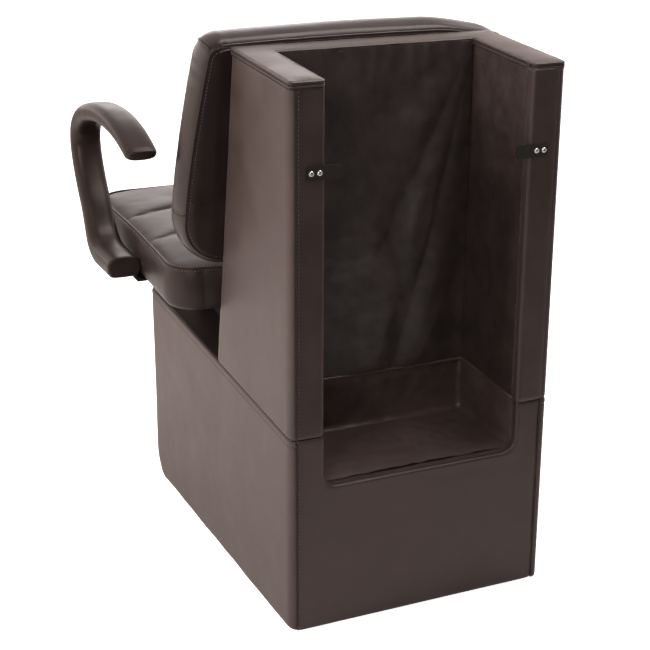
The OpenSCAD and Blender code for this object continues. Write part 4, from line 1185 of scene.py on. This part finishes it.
@dataclass
class Pad:
    """Closed cushion: two panels sewn to a boxing band, drawn in its own frame with the sitter's side up."""

    frame: Matrix
    us: list[float]  # shares across
    rows: list[float]  # distances along
    half: Callable[[float, float, float], float]  # half the width at a distance, a share across and a level
    bow: Callable[[float, float], float]
    top: Callable[[float, float], float]  # height of the upper panel
    sign: int  # way of the distances along the frame's y
    boxing: float  # height of the boxing band
    swell: float  # of the boxing band
    rows_down: int = 14  # rows of vertices in that band
    end_roll: float = 1.0  # roll at the lower seam, along the ends
    side_roll: float = 1.0

    def inset(self, height: float) -> tuple[float, float]:
        """How far the roll at the lower seam draws the sides and the ends in at a height."""
        return 0.8 * corner_cut(height, self.side_roll), 0.8 * corner_cut(height, self.end_roll)

    def spot(self, u: float, e: float, height: float) -> Vector:
        """Point in the pad's frame from its share across, its distance along and its height."""
        (side, end), mid = self.inset(height), self.rows[-1] / 2
        along = mid + (e - mid) * (1 - end / mid)
        half = self.half(e, u, min(1.0, height / self.boxing)) - side
        return Vector((u * half, self.sign * along + self.bow(u, e), height))

    def rim(self, height: float) -> list[Vector]:
        """Closed seam line round the pad at a height."""
        a, b = self.rows[0], self.rows[-1]
        line = [self.spot(u, a, height) for u in self.us]
        line += [self.spot(self.us[-1], e, height) for e in self.rows[1:]]
        line += [self.spot(u, b, height) for u in reversed(self.us[:-1])]
        return line + [self.spot(self.us[0], e, height) for e in reversed(self.rows[1:-1])]

    def bulge(self, t: float) -> float:
        """How far the boxing swells out at a share of its height."""
        return self.swell * math.sin(math.pi * t) ** 0.8

    def form(self, detail: Callable[[Vector, float], float]) -> Form:
        """The pad's surface in the part's frame.

        Args:
            detail: extra push outwards at a point; its second value is the share of the boxing's height, 2 on
                the upper panel and -1 on the lower one.

        Returns:
            The closed form.
        """
        bm = grid_form(self.us, self.rows, lambda u, e: self.spot(u, e, self.top(u, e)))
        take_in(bm, grid_form(self.us, self.rows, lambda u, e: self.spot(u, e, 0.0)))
        made = bmesh.ops.bridge_loops(bm, edges=open_edges(bm))
        bmesh.ops.subdivide_edges(bm, edges=made["edges"], cuts=self.rows_down, use_grid_fill=True)
        bmesh.ops.recalc_face_normals(bm, faces=bm.faces[:])
        bm.normal_update()
        bm.verts.index_update()
        count = len(self.us) * len(self.rows)  # the upper panel's vertices come first, then the lower one's
        moves = []
        for v in bm.verts:
            n = v.normal.copy()
            if v.index < count:
                border = any(e.other_vert(v).index >= count for e in v.link_edges)
                moves.append((v, n * detail(v.co, 1.0 if border else 2.0), None))
            elif v.index < 2 * count:
                moves.append((v, n * detail(v.co, -1.0), None))
            else:
                even = max(0.0, min(1.0, v.co.z / self.boxing))
                t = 0.5 - 0.5 * math.cos(math.pi * even)
                flat = Vector((n.x, n.y, 0)).normalized()
                drawn = [a * (1 - even) - b for a, b in zip(self.inset(0.0), self.inset(t * self.boxing))]
                push = self.bulge(t) + detail(v.co, t) + drawn[0] * flat.x**2 + drawn[1] * flat.y**2
                moves.append((v, flat * push, t * self.boxing))
        for v, move, z in moves:
            if z is not None:
                v.co.z = z
            v.co += move
        bmesh.ops.transform(bm, matrix=self.frame, verts=bm.verts[:])
        return bm

    def placed(self, line: list[Vector]) -> list[Vector]:
        """A line of the pad's frame in the part's frame."""
        return [self.frame @ p for p in line]


def corner_cut(e: float, r: float) -> float:
    """How far a side is cut back by a round corner of radius r at distance e from the end."""
    return 0.0 if e >= r else r - math.sqrt(max(0.0, r * r - (r - e) ** 2))


def pad_rows(length: float, first: float, last: float, middle: int) -> list[float]:
    """Distances along a pad that follow its round corners and are even between them."""
    near = [first * (1 - math.cos(a)) for a in steps(0, math.pi / 2, 9)]
    far = [length - last * (1 - math.cos(a)) for a in steps(math.pi / 2, 0, 9)]
    return near + steps(first, length - last, middle)[1:-1] + far


@dataclass
class BackCushion:
    """Backrest cushion: crowned front, boxing band with its cross seams, plain rear panel, doubled welt."""

    width: float = 572.0
    height: float = 367.0
    thick: float = 82.0
    low: float = 176.4  # lower edge, up the housing's front from its foot
    crown: float = 20.0  # rise of the front panel's middle over its seam
    top_r: float = 46.0  # upper corners at the front seam
    neat_r: float = 30.0  # the same on the sitter's left
    rear_r: float = 13.0  # upper corners at the rear seam
    low_r: float = 74.0  # lower corners

    def half(self, e: float, u: float = 0.0, level: float = 1.0) -> float:
        """Half the width at a distance up from the lower edge; the rear seam has the sharper upper corners."""
        share = e / self.height
        up = max(0.0, share - 0.25) / 0.75
        front_r, rear_r = (self.neat_r, self.rear_r) if u > 0 else (self.top_r, 1.9 * self.rear_r)
        top_r = rear_r + (front_r - rear_r) * smooth(0, 1, level)
        cuts = corner_cut(self.height - e, top_r) + corner_cut(e, self.low_r)
        return self.width / 2 - 32 * up**1.6 - 2 * math.sin(math.pi * share) - cuts

    def cross_at(self, t: float) -> float:
        """Height of the boxing's cross seam at a share of its depth."""
        return 86.0 - 8.0 * (t - 0.5)

    def bow(self, u: float, e: float) -> float:
        """Bow of the top edge, and the slack corner on the sitter's right."""
        share = max(0.0, e / self.height)
        slack = -17.0 * smooth(110, 262, -u * self.half(e)) * share**3
        return 4 * (1 - u * u) * share**4 + slack

    def face(self, u: float, e: float) -> float:
        """Height of the front panel over the rear one."""
        v = min(1.0, abs(2 * e / self.height - 1))
        return self.thick - self.crown * (1 - (1 - abs(u) ** 4) * (1 - v**4))

    def build(self, dress: Dressing) -> None:
        """Builds the cushion, its welts and its stitches."""
        lean = Matrix.Rotation(math.pi / 2 - LEAN, 4, "X")
        place = Matrix.Translation(point(0, FOOT_D, FOOT_Z)) @ lean @ Matrix.Translation((0, self.low, 0))
        boxing = self.thick - self.crown
        pad = Pad(
            frame=place, us=eased(64, 1.4), rows=pad_rows(self.height, self.low_r, self.top_r, 34), half=self.half,
            bow=self.bow, top=self.face, sign=1, boxing=boxing, swell=6.0, end_roll=10.0, side_roll=3.0,
        )

        def detail(p: Vector, t: float) -> float:
            """Seam pull, gathers at the upper corners, and slack."""
            around = 0.9 * p.x - 0.8 * p.y
            slack = 0.9 * ripple(p, 90, 92.0) + 0.35 * ripple(p, 26, 93.0)
            if t < -0.5:
                half = self.half(max(0.0, min(self.height, p.y)), p.x, 0.0)
                away = max(0.0, min(half - abs(p.x), p.y, self.height - p.y))
                seen = max(smooth(224, 238, abs(p.x)), smooth(self.height - 20, self.height - 8, p.y))
                puff = 2.4 * (1 - math.exp(-((away / 10) ** 2)))
                return seen * (puff + 0.4 * slack - 1.2 * pucker(around, away, 6.0, 12.0, 99.0))
            if t > 1.5:
                half = max(1.0, self.half(max(0.0, min(self.height, p.y))))
                edge = (1 - abs(p.x) / half) * self.width / 2
                away = max(0.0, min(edge, p.y, self.height - p.y))
                return slack - 2.2 * pucker(around, away, 7.0, 15.0, 94.0) - 1.0 * math.exp(-((away / 14) ** 2))
            corner = smooth(0.72, 1.0, abs(p.x) / (self.width / 2)) * smooth(0.7, 1.0, p.y / self.height)
            pull = 2.4 * pucker(around, (1 - t) * boxing, 6.0, 14.0, 95.0)
            pull += 2.0 * pucker(around, t * boxing, 5.0, 12.0, 96.0)
            cross = 0.0
            if abs(p.x) > 200 and p.y < 130:
                cross = 1.8 * math.exp(-(((p.y - self.cross_at(t)) / 4.0) ** 2))
            gathers = 1.5 * corner * math.sin(around / 3.6 + 2 * ripple(p, 30, 97.0)) * (0.4 + 0.6 * t)
            return slack * 0.6 - pull - cross + gathers

        dress.add("back_cushion_pad", pad.form(detail), SHADED_BACK_VINYL, ["back_cushion"], subdivide=1, fill=0.9)
        self.trim(dress, pad, place)

    def trim(self, dress: Dressing, pad: Pad, place: Matrix) -> None:
        """Doubled welt along the rear's top edge, stitches beside the other seams, and the mitred corners."""
        self.welts(dress, pad)
        bm = bmesh.new()
        self.rear_seam(dress, pad, bm, (place.to_3x3() @ Vector((0, 0, -1))).normalized())
        for side, radius in ((Side.LEFT, self.neat_r), (Side.RIGHT, self.top_r)):
            out_way = (place.to_3x3() @ Vector((side.value * 0.8, 0.6, 0))).normalized()
            self.mitre(dress, pad, bm, side, radius, out_way)
            self.cross_seam(dress, pad, bm, side, out_way)
        dress.add("back_cushion_stitches", bm, THREAD)

    def welts(self, dress: Dressing, pad: Pad) -> None:
        """Two welts, with a dark tube of painted shade in the groove between them and another at their foot."""
        for name, inset, drop, radius, finish in (
            ("upper", -3.2, 3.0, 2.2, WELT_VINYL), ("groove", 0.0, -0.2, 0.9, SEAM_SHADE),
            ("lower", 3.0, -2.2, 2.4, WELT_VINYL), ("foot", 7.6, -1.4, 1.0, SEAM_SHADE),
        ):
            line: list[Vector] = []
            for u in pad.us:
                p = pad.spot(u, self.height, 0.0)
                p.x *= 1 + 0.012 * (2.0 - inset) / 6
                if not line or (p - line[-1]).length > LEAST_SPAN:
                    along = -inset + 0.5 * ripple(p, 24, 98.0) - 1.5 * abs(u) ** 30
                    line.append(p + Vector((0, along, drop + 0.4 * ripple(p, 20, 98.5))))
            dress.add(f"back_cushion_welt_{name}", tube(pad.placed(line), radius, sides=9), finish)

    def rear_seam(self, dress: Dressing, pad: Pad, bm: Form, out_way: Vector) -> None:
        """Rear panel's seam down both sides and along the lower edge, a dark tube of painted shade, with a row of
        stitches each side.
        """
        rim, count = pad.rim(0.0), len(pad.us)
        corner = count + len(pad.rows) - 2  # where the rim's upper edge begins
        seam = rim[corner + count - 2 :] + rim[: corner + 1]
        for inset, height in ((-0.6, 5.0), (5.0, -2.6)):
            row = [
                p - Vector((p.x, 1.6 * (p.y - self.height / 2), 0)).normalized() * inset + Vector((0, 0, height))
                for p in seam
            ]
            stitch_row(bm, pad.placed(row), out_way, BACK_STITCH)
        # dark tube of painted shade along the seam
        dark = [p + Vector((math.copysign(0.7, p.x), 0, -0.9)) for p in thinned(seam)]
        dress.add("back_cushion_seam_shade", tube(pad.placed(dark), radius=1.4, sides=8), SEAM_SHADE)

    def mitre(self, dress: Dressing, pad: Pad, bm: Form, side: Side, radius: float, out_way: Vector) -> None:
        """Dark tube of painted seam shade across the boxing at an upper corner, with a row of stitches each side.
        """
        sign, turn = side.value, math.radians(38)
        line = []
        for t in steps(0.04, 0.96, 12):
            r = self.rear_r + (radius - self.rear_r) * t
            spot = pad.spot(sign, self.height - r * (1 - math.sin(turn)), t * pad.boxing)
            line.append(spot + Vector((sign * math.cos(turn), math.sin(turn), 0)) * (pad.bulge(t) + 0.2))
        dress.add(f"back_cushion_mitre_{side.tag}", tube(pad.placed(line), radius=0.9, sides=8), SEAM_SHADE)
        for shift in (-2.2, 2.2):
            beside = Vector((-sign * math.sin(turn), math.cos(turn), 0)) * shift
            stitch_row(bm, pad.placed([p + beside for p in line]), out_way, MITRE_STITCH)

    def cross_seam(self, dress: Dressing, pad: Pad, bm: Form, side: Side, out_way: Vector) -> None:
        """Dark tube of painted seam shade across the boxing low on one side, with a row of stitches above and
        below.
        """
        sign = side.value
        line = [
            pad.spot(sign, self.cross_at(t), t * pad.boxing) + Vector((sign * (pad.bulge(t) - 1.2), 0, 0))
            for t in steps(0.03, 0.97, 14)
        ]
        seam = tube(pad.placed(line), radius=0.9, sides=8)
        dress.add(f"back_cushion_cross_seam_{side.tag}", seam, SEAM_SHADE)
        for shift in (-3.0, 3.0):
            row = [p + Vector((sign * 1.3, shift, 0)) for p in line]
            stitch_row(bm, pad.placed(row), out_way, BACK_STITCH)


@dataclass
class SeatCushion:
    """Seat cushion: two sewn cross channels, boxing with a double stitched seam, cloth under it."""

    width: float = 556.0
    length: float = 532.0
    rear_d: float = 306.69  # depth and height of the seat's own frame
    z: float = 429.0
    boxing: float = 74.0
    crown: float = 17.0
    bow_l: float = 26.0  # bow of the rear edge
    corner_r: float = 48.0  # rear corners
    nose_r: float = 60.0  # front corners
    channel_h: float = 9.0
    channel_w: float = 15.0
    shares: tuple[float, float] = (0.37, 0.655)  # places of the channels along the cushion

    @property
    def side_l(self) -> float:
        """Length of the sides."""
        return self.length - self.bow_l

    def frame(self) -> Matrix:
        """The seat's frame in the part's frame."""
        return Matrix.Translation(point(0, self.rear_d, self.z)) @ Matrix.Rotation(math.radians(-1), 4, "X")

    def half(self, e: float, u: float = 0.0, level: float = 1.0) -> float:
        """Half the width at a distance forwards from the rear edge."""
        share = e / self.side_l
        cuts = corner_cut(e, self.corner_r) + corner_cut(self.side_l - e, self.nose_r)
        return self.width / 2 + 8 * (1 - share) ** 2 - 6 * share - 3 * math.sin(math.pi * share) - cuts

    def bow(self, u: float, e: float) -> float:
        """The rear edge bows back between its corners, and the bow fades out by the first channel."""
        return -self.bow_l + self.bow_l * (1 - u * u) * max(0.0, 1 - e / (self.shares[0] * self.side_l))

    def channel(self, u: float, e: float) -> float:
        """Depth share of the nearest sewn channel, which curves forwards and fades towards the sides."""
        off = min(abs(e + 20.0 * abs(u) ** 2.4 - s * self.side_l) for s in self.shares)
        wide, thread = math.exp(-((off / self.channel_w) ** 1.4)), math.exp(-((off / 3.0) ** 2))
        return (0.5 * wide + 0.5 * thread) * (1 - abs(u) ** 6)

    def top(self, u: float, e: float) -> float:
        """Height of the top panel."""
        v = min(1.0, abs(2 * e / self.side_l - 1))
        return self.boxing + self.crown * (1 - abs(u) ** 5) * (1 - v**6) - self.channel_h * self.channel(u, e)

    def build(self, dress: Dressing) -> None:
        """Builds the cushion, its stitches and the cloth under it."""
        rows = pad_rows(self.side_l, self.corner_r, self.nose_r, 74)
        pad = Pad(
            frame=self.frame(), us=eased(72, 1.35), rows=rows, half=self.half, bow=self.bow, top=self.top, sign=-1,
            boxing=self.boxing, swell=5.0, end_roll=9.0, side_roll=9.0,
        )

        def detail(p: Vector, t: float) -> float:
            """Seam pull, creases into the channels, slack."""
            e = -p.y - self.bow_l
            around = 0.9 * p.x + 0.9 * p.y
            slack = 0.8 * ripple(p, 85, 112.0) + 0.35 * ripple(p, 24, 113.0)
            if t < -0.5:
                return 0.0
            if t > 1.5:
                half = max(1.0, self.half(max(0.0, min(self.side_l, e))))
                away = max(0.0, min((1 - abs(p.x) / half) * half, e + 26, self.side_l - e))
                near = self.channel(p.x / half, e)
                creases = 0.9 * near * math.sin(p.x / 5.0 + 2.5 * ripple(p, 40, 114.0)) * smooth(0.25, 0.6, near)
                pull = 1.8 * pucker(around, away, 7.0, 13.0, 115.0) + 1.4 * math.exp(-((away / 12) ** 2))
                return slack + creases - pull
            pull = 1.6 * pucker(around, (1 - t) * self.boxing, 7.0, 13.0, 116.0)
            tuck = 1.5 * smooth(0.2, 0.0, t)
            return slack * 0.7 - pull - tuck

        dress.add("seat_cushion_pad", pad.form(detail), SHADED_SEAT_VINYL, ["seat_cushion"], subdivide=1, fill=0.9)
        bm = bmesh.new()
        up = (self.frame().to_3x3() @ Vector((0, 0, 1))).normalized()
        # the seam tube is a dark line of painted seam shade
        for name, height, grow, radius in (
            ("low", self.boxing - 4.0, 2.4, 0), ("top", self.boxing + 1.9, -5.0, 0),
            ("seam", self.boxing - 0.4, -0.7, 0.9), ("roll_top", self.boxing + 0.6, -2.6, 1.4),
            ("roll_low", self.boxing - 2.2, 0.5, 1.3),
        ):
            rim = pad.rim(height)
            line = thinned(p + grow * Vector((p.x, (p.y + self.length / 2) * 0.9, 0)).normalized() for p in rim)
            if radius:
                dress.add(
                    f"seat_cushion_{name}", tube(pad.placed(line), radius, sides=8, closed=True),
                    SEAM_SHADE if name == "seam" else WELT_VINYL,
                )
            else:
                stitch_row(bm, pad.placed(line + line[:1]), up, SEAT_STITCH)
        dress.add("seat_cushion_stitches", bm, THREAD)
        self.cloth(dress)

    def cloth(self, dress: Dressing) -> None:
        """Dust cloth stapled under the seat board, sagging a little."""
        wide, near, far = 259.0, 62.0, 470.0

        def place(u: float, v: float) -> Vector:
            """Vertex of the dust cloth."""
            e = near + (v + 1) / 2 * (far - near)
            sag = 2.5 * (1 - u**4) * (1 - v**4)
            sag += 0.8 * ripple(Vector((u * 200, e, 0)), 40, 121.0) * (1 - u**8) * (1 - v**8)
            return self.frame() @ Vector((u * wide, -e, -0.4 - max(0.0, sag) * 0.5))

        bm = grid_form(eased(40, 1.2), eased(40, 1.2), place)
        face_way(bm, (0, 0, -1))
        obj = dress.add("seat_dust_cloth", bm, DUST, ["seat_dust_cover"])


@dataclass
class Arm:
    """Moulded arm that rises from its foot in one bow and ends in a flattened tip over the seat."""

    side: Side
    x: float = 313.0
    front: float = 425.0  # the bow's foremost point, forwards of the seat frame's origin
    foot_z: float = 32.0  # height of the foot's line in that frame
    reach: float = 337.0  # from the foremost point back to the tip
    rise: float = 253.0  # from the foot's line to the top of the bow
    width: float = 54.0
    thick: float = 34.0
    square: float = 0.72  # power of the section: 1 is round, and less is squarer
    end_r: float = 9.0
    knee: float = 12.0  # how far the outer side of the knee stands out
    knee_at: float = 0.215  # its place as a share of the line's length
    per_span: int = 5  # points from one of the shares to the next
    # the centre line from foot to tip, as shares of the reach and the rise
    shares: tuple[tuple[float, float], ...] = (
        (0.645, 0), (0.52, 0), (0.43, 0), (0.36, 0.006), (0.3, 0.034), (0.252, 0.084), (0.214, 0.15),
        (0.158, 0.27), (0.096, 0.384), (0.042, 0.505), (0.01, 0.61), (0, 0.7), (0.018, 0.79), (0.07, 0.862),
        (0.145, 0.917), (0.24, 0.955), (0.39, 0.99), (0.55, 1), (0.69, 0.988), (0.81, 0.96), (0.92, 0.916),
        (1, 0.874),
    )

    def line(self) -> list[Vector]:
        """Smooth centre line as y and z of the seat's frame."""
        knots = [Vector((-self.front + a * self.reach, self.foot_z + b * self.rise)) for a, b in self.shares]
        out = []
        for i in range(len(knots) - 1):
            a, b, c, d = knots[max(i - 1, 0)], knots[i], knots[i + 1], knots[min(i + 2, len(knots) - 1)]
            for t in (k / self.per_span for k in range(self.per_span)):
                curve = (2 * a - 5 * b + 4 * c - d) * t * t + (3 * b - a - 3 * c + d) * t**3
                out.append((2 * b + (c - a) * t + curve) / 2)
        return out + [knots[-1]]

    def form(self, seat: Matrix) -> Form:
        """The arm's surface in the part's frame."""
        line = self.line()
        n = len(line) - 1
        ways = [(line[min(i + 1, n)] - line[max(i - 1, 0)]).normalized() for i in range(n + 1)]

        def rounding(i: int, reach: float, squeeze: float) -> list[tuple[Vector, Vector, float, float]]:
            """Rings that round off one end, from its middle outwards."""
            turns = [math.radians(a) for a in steps(0, 90, 6)[:-1]]
            return [
                (line[i] + ways[i] * reach * (1 - math.cos(a)), ways[i], i / n, 1 - (1 - math.sin(a)) * squeeze)
                for a in turns
            ]

        rings = rounding(0, 0.6 * self.end_r, 0.14)
        rings += [(line[i], ways[i], i / n, 1.0) for i in range(2, n - 1)]
        rings += reversed(rounding(n, -self.end_r, 0.32))
        sides = 40

        def bulge(c: float, power: float) -> float:
            """Rounded square section, rounder at a higher power."""
            return math.copysign(abs(c) ** power, c)

        def place(k: int, ring: tuple[Vector, Vector, float, float]) -> Vector:
            """Vertex k of a ring."""
            at, way, share, size = ring
            a = 2 * math.pi * (k % sides) / sides
            late = max(0.0, share - 0.7) / 0.3
            thin = 1 - 0.4 * late * late
            foot = 1 - smooth(0.1, 0.34, share)
            up = -math.sin(a)
            power = self.square + foot * (0.2 if up > 0 else -0.35)
            off = -bulge(up, power) * self.thick / 2 * thin * size
            off += self.knee * max(0.0, -up) * math.exp(-(((share - self.knee_at) / 0.07) ** 2))
            off += 4.5 * foot * max(0.0, -up)
            across = bulge(math.cos(a), self.square - 0.2 * foot) * self.width / 2 * size * (1 + 0.12 * foot)
            across *= 1 - 0.09 * foot * math.exp(-(((up + 0.5) / 0.14) ** 2)) - 0.2 * foot * max(0.0, up) ** 2
            across *= 1 + 0.05 * foot * math.exp(-(((up + 0.85) / 0.2) ** 2))
            return seat @ Vector((self.side.value * self.x + across, at.x - off * way.y, at.y + off * way.x))

        return seal(grid_form(range(sides + 1), rings, place))

    def build(self, dress: Dressing, seat: Matrix) -> None:
        """Builds the arm."""
        name = self.side.tag
        dress.add(f"arm_{name}_moulding", self.form(seat), ARM_FOAM, [f"arm_{name}"], subdivide=1)


@dataclass
class Hardware:
    """Pan heads of the screws that hold the dryer's straps to the rear strips."""

    strap_z: float = 731.0
    screws_x: tuple[float, float] = (177.5, 190.5)
    head_r: float = 4.3
    cross: Triple = (4.6, 2.4, 1.1)  # length, depth and width of a slot of the cross recess
    shank_r: float = 1.9
    shank_l: float = 25.0

    def head(self) -> bpy.types.Mesh:
        """Pan head with its cross recess, facing +y at the origin, in millimetres."""
        bm = bmesh.new()
        profile = [(0.0, 2.6), (1.6, 2.5), (3.0, 2.0), (3.9, 1.2), (self.head_r, 0.3), (self.head_r, 0.0)]
        verts = [bm.verts.new((x, y, 0)) for x, y in profile]
        edges = [bm.edges.new(pair) for pair in zip(verts, verts[1:])]
        bmesh.ops.spin(
            bm, geom=verts + edges, cent=(0, 0, 0), axis=(0, 1, 0), angle=2 * math.pi, steps=24, use_merge=True
        )
        head = in_scene("head", mesh_of("head", seal(bm)))
        cross = bmesh.new()
        for angle in (0.6, 0.6 + math.pi / 2):
            turn = Matrix.Translation((0, 2.4, 0)) @ Matrix.Rotation(angle, 4, "Y")
            bmesh.ops.create_cube(cross, size=1.0, matrix=turn @ Matrix.Diagonal((*self.cross, 1.0)))
        tool = in_scene("cross", mesh_of("cross", cross))
        cut = head.modifiers.new("cross", "BOOLEAN")
        cut.operation, cut.object, cut.solver, cut.use_self = "DIFFERENCE", tool, "EXACT", True
        graph = bpy.context.evaluated_depsgraph_get()
        mesh = bpy.data.meshes.new_from_object(head.evaluated_get(graph))
        for obj in (head, tool):
            bpy.data.objects.remove(obj)
        return mesh

    def build(self, dress: Dressing) -> None:
        """Builds the pan heads over the straps, with a shank into the wall each."""
        head = self.head()
        bm = bmesh.new()
        for side in Side:
            for i, x in enumerate(self.screws_x):
                at = point(side.value * x, -2.5, self.strap_z)
                turned = head.copy()
                turned.transform(Matrix.Translation(at) @ Matrix.Rotation(0.7 * i + side.value, 4, "Y"))
                bm.from_mesh(turned)
                bpy.data.meshes.remove(turned)
                bmesh.ops.create_cone(
                    bm, cap_ends=True, segments=16, radius1=self.shank_r, radius2=self.shank_r, depth=self.shank_l,
                    matrix=Matrix.Translation(at - Vector((0, 12.4, 0))) @ Matrix.Rotation(math.pi / 2, 4, "X"),
                )
        dress.add("strap_pan_screws", bm, ZINC, ["strap_screws"], sharp=35.0)


@dataclass(frozen=True)
class SoftBox:
    """Square soft box, which glossy faces mirror or not."""

    name: str
    at: Triple
    aim: Triple
    size: float
    watts: float
    mirrored: bool = True

    def build(self) -> None:
        """Creates the light."""
        lamp = bpy.data.lights.new(self.name, "AREA")
        lamp.shape, lamp.size, lamp.energy = "SQUARE", self.size, self.watts
        obj = in_scene(self.name, lamp)
        obj.visible_glossy = self.mirrored
        turn = (Vector(self.aim) - Vector(self.at)).to_track_quat("-Z", "Y").to_matrix().to_4x4()
        obj.matrix_world = Matrix.Translation(self.at) @ turn


@dataclass
class Studio:
    """Pale floor, soft light all round and the camera of the product picture. Its sizes are in metres."""

    eye: Triple = (1.0155, 2.2825, 1.2296)
    way: Triple = (-0.39039, -0.85777, -0.33441)
    roll: float = 0.26
    lens: float = 82.63
    floor_size: float = 7.0
    floor_rear: float = 1.1
    boxes: tuple[SoftBox, ...] = (
        SoftBox("key_box", (2.7, 0.2, 1.9), (0, 0, 0.5), 1.2, 130, mirrored=False),
        SoftBox("fill_box", (-2.6, -1.2, 2.2), (0, 0, 0.5), 1.6, 14),
        SoftBox("far_box", (-0.9, -3.1, 1.9), (0, 0, 0.7), 1.4, 12),
        SoftBox("top_box", (-0.8, 0.5, 2.8), (0, 0, 0.5), 1.5, 46),
        SoftBox("rear_box", (1.7, 2.4, 1.5), (-0.15, 0.2, 0.45), 1.0, 21),
        SoftBox("glint_box", (1.9, 2.4, 2.4), (0, 0, 0.6), 0.35, 9),
    )

    def camera(self) -> None:
        """Creates the camera and makes it the scene's."""
        cam = bpy.data.cameras.new("product_camera")
        cam.lens, cam.sensor_width, cam.clip_start = self.lens, 36.0, 0.05
        way = Vector(self.way).normalized()
        right = way.cross(Vector((0, 0, 1))).normalized()
        up = right.cross(way)
        cos, sin = math.cos(math.radians(self.roll)), math.sin(math.radians(self.roll))
        turn = Matrix((cos * right + sin * up, cos * up - sin * right, -way)).transposed().to_4x4()
        obj = in_scene("product_camera", cam)
        obj.matrix_world = Matrix.Translation(self.eye) @ turn
        bpy.context.scene.camera = obj

    def end(self, tree: Tree, kind: str, seen: bpy.types.Node, mirrored: bpy.types.Node) -> None:
        """Ends a tree with one shader for the camera's rays and another for all others."""
        ray = add_node(tree, "ShaderNodeLightPath").outputs["Is Camera Ray"]
        pick = add_node(tree, "ShaderNodeMixShader", links={0: ray, 1: mirrored.outputs[0], 2: seen.outputs[0]})
        add_node(tree, f"ShaderNodeOutput{kind}", links={0: pick.outputs[0]})

    def sky(self) -> None:
        """White behind the chair; what the chair mirrors fades towards its rear and overhead."""
        world = bpy.data.worlds.new("studio")
        tree = empty_tree(world)
        at = add_node(tree, "ShaderNodeTexCoord").outputs["Generated"]
        ways = add_node(tree, "ShaderNodeSeparateXYZ", links={0: at}).outputs
        room = Bench(tree, add_node(tree, "ShaderNodeBackground", {"Color": srgb("#fff1ed")}), at)
        along = room.spread(ways["Y"], 1.75, 0.2, -0.35, 0.75)
        fades = {0: along, 1: room.spread(ways["Z"], 1.04, 0.44, 0.18, 0.36)}
        room.give({"Strength": add_node(tree, "ShaderNodeMath", links=fades, operation="MULTIPLY").outputs[0]})
        seen = add_node(tree, "ShaderNodeBackground", {"Color": srgb("#ffffff"), "Strength": 1.0})
        self.end(tree, "World", seen, room.shader)
        bpy.context.scene.world = world

    def floor(self) -> None:
        """Pale floor, evenly lit as the camera sees it."""
        mat = bpy.data.materials.new("studio_floor")
        tree = empty_tree(mat)
        glow = {"Roughness": 0.9, "Emission Color": srgb("#ffffff"), "Emission Strength": 0.85}
        seen = add_node(tree, "ShaderNodeBsdfPrincipled", glow)
        bench = Bench(tree, seen, add_node(tree, "ShaderNodeTexCoord").outputs["Object"])
        bench.give({"Base Color": bench.blend(bench.noise(1000 / 3, 2.0), "#f2f1f0", "#f5f4f3")})
        self.end(tree, "Material", seen, add_node(tree, "ShaderNodeBsdfDiffuse", {"Color": srgb("#d6cfcb")}))
        bm = bmesh.new()
        shift = Matrix.Translation((0, self.floor_rear - self.floor_size, 0))
        bmesh.ops.create_grid(bm, x_segments=2, y_segments=2, size=self.floor_size, matrix=shift)
        mesh = mesh_of("studio_floor", bm)
        mesh.materials.append(mat)
        in_scene("studio_floor", mesh)

    def build(self) -> None:
        """Creates the camera, sky, lights and floor."""
        bpy.context.scene.view_settings.view_transform = "Standard"
        self.camera()
        self.sky()
        for box in self.boxes:
            box.build()
        self.floor()


def dress_solids() -> None:
    """Gives each solid that stays in view its finish and its slot."""
    for name, obj in frame["nodes"].items():
        finish = finish_of(name)
        if not obj.material_slots:
            obj.data.materials.append(finish.material())
        for place in obj.material_slots:
            place.material = finish.material()
        LOG.info("%s: %s", name, finish.name)


def main() -> None:
    """Builds the chair in the order it is upholstered."""
    logging.basicConfig(level=logging.INFO, format="%(asctime)s %(message)s")
    Studio().build()
    dress_solids()
    dress = Dressing()
    seat = SeatCushion()
    BaseUpholstery().build(dress)
    HousingUpholstery().build(dress)
    DryerBay().build(dress)
    BackCushion().build(dress)
    seat.build(dress)
    for side in Side:
        Arm(side).build(dress, seat.frame())
    Hardware().build(dress)
    LOG.info("%d pieces", len(dress.made))


if __name__ == "__main__":
    main()
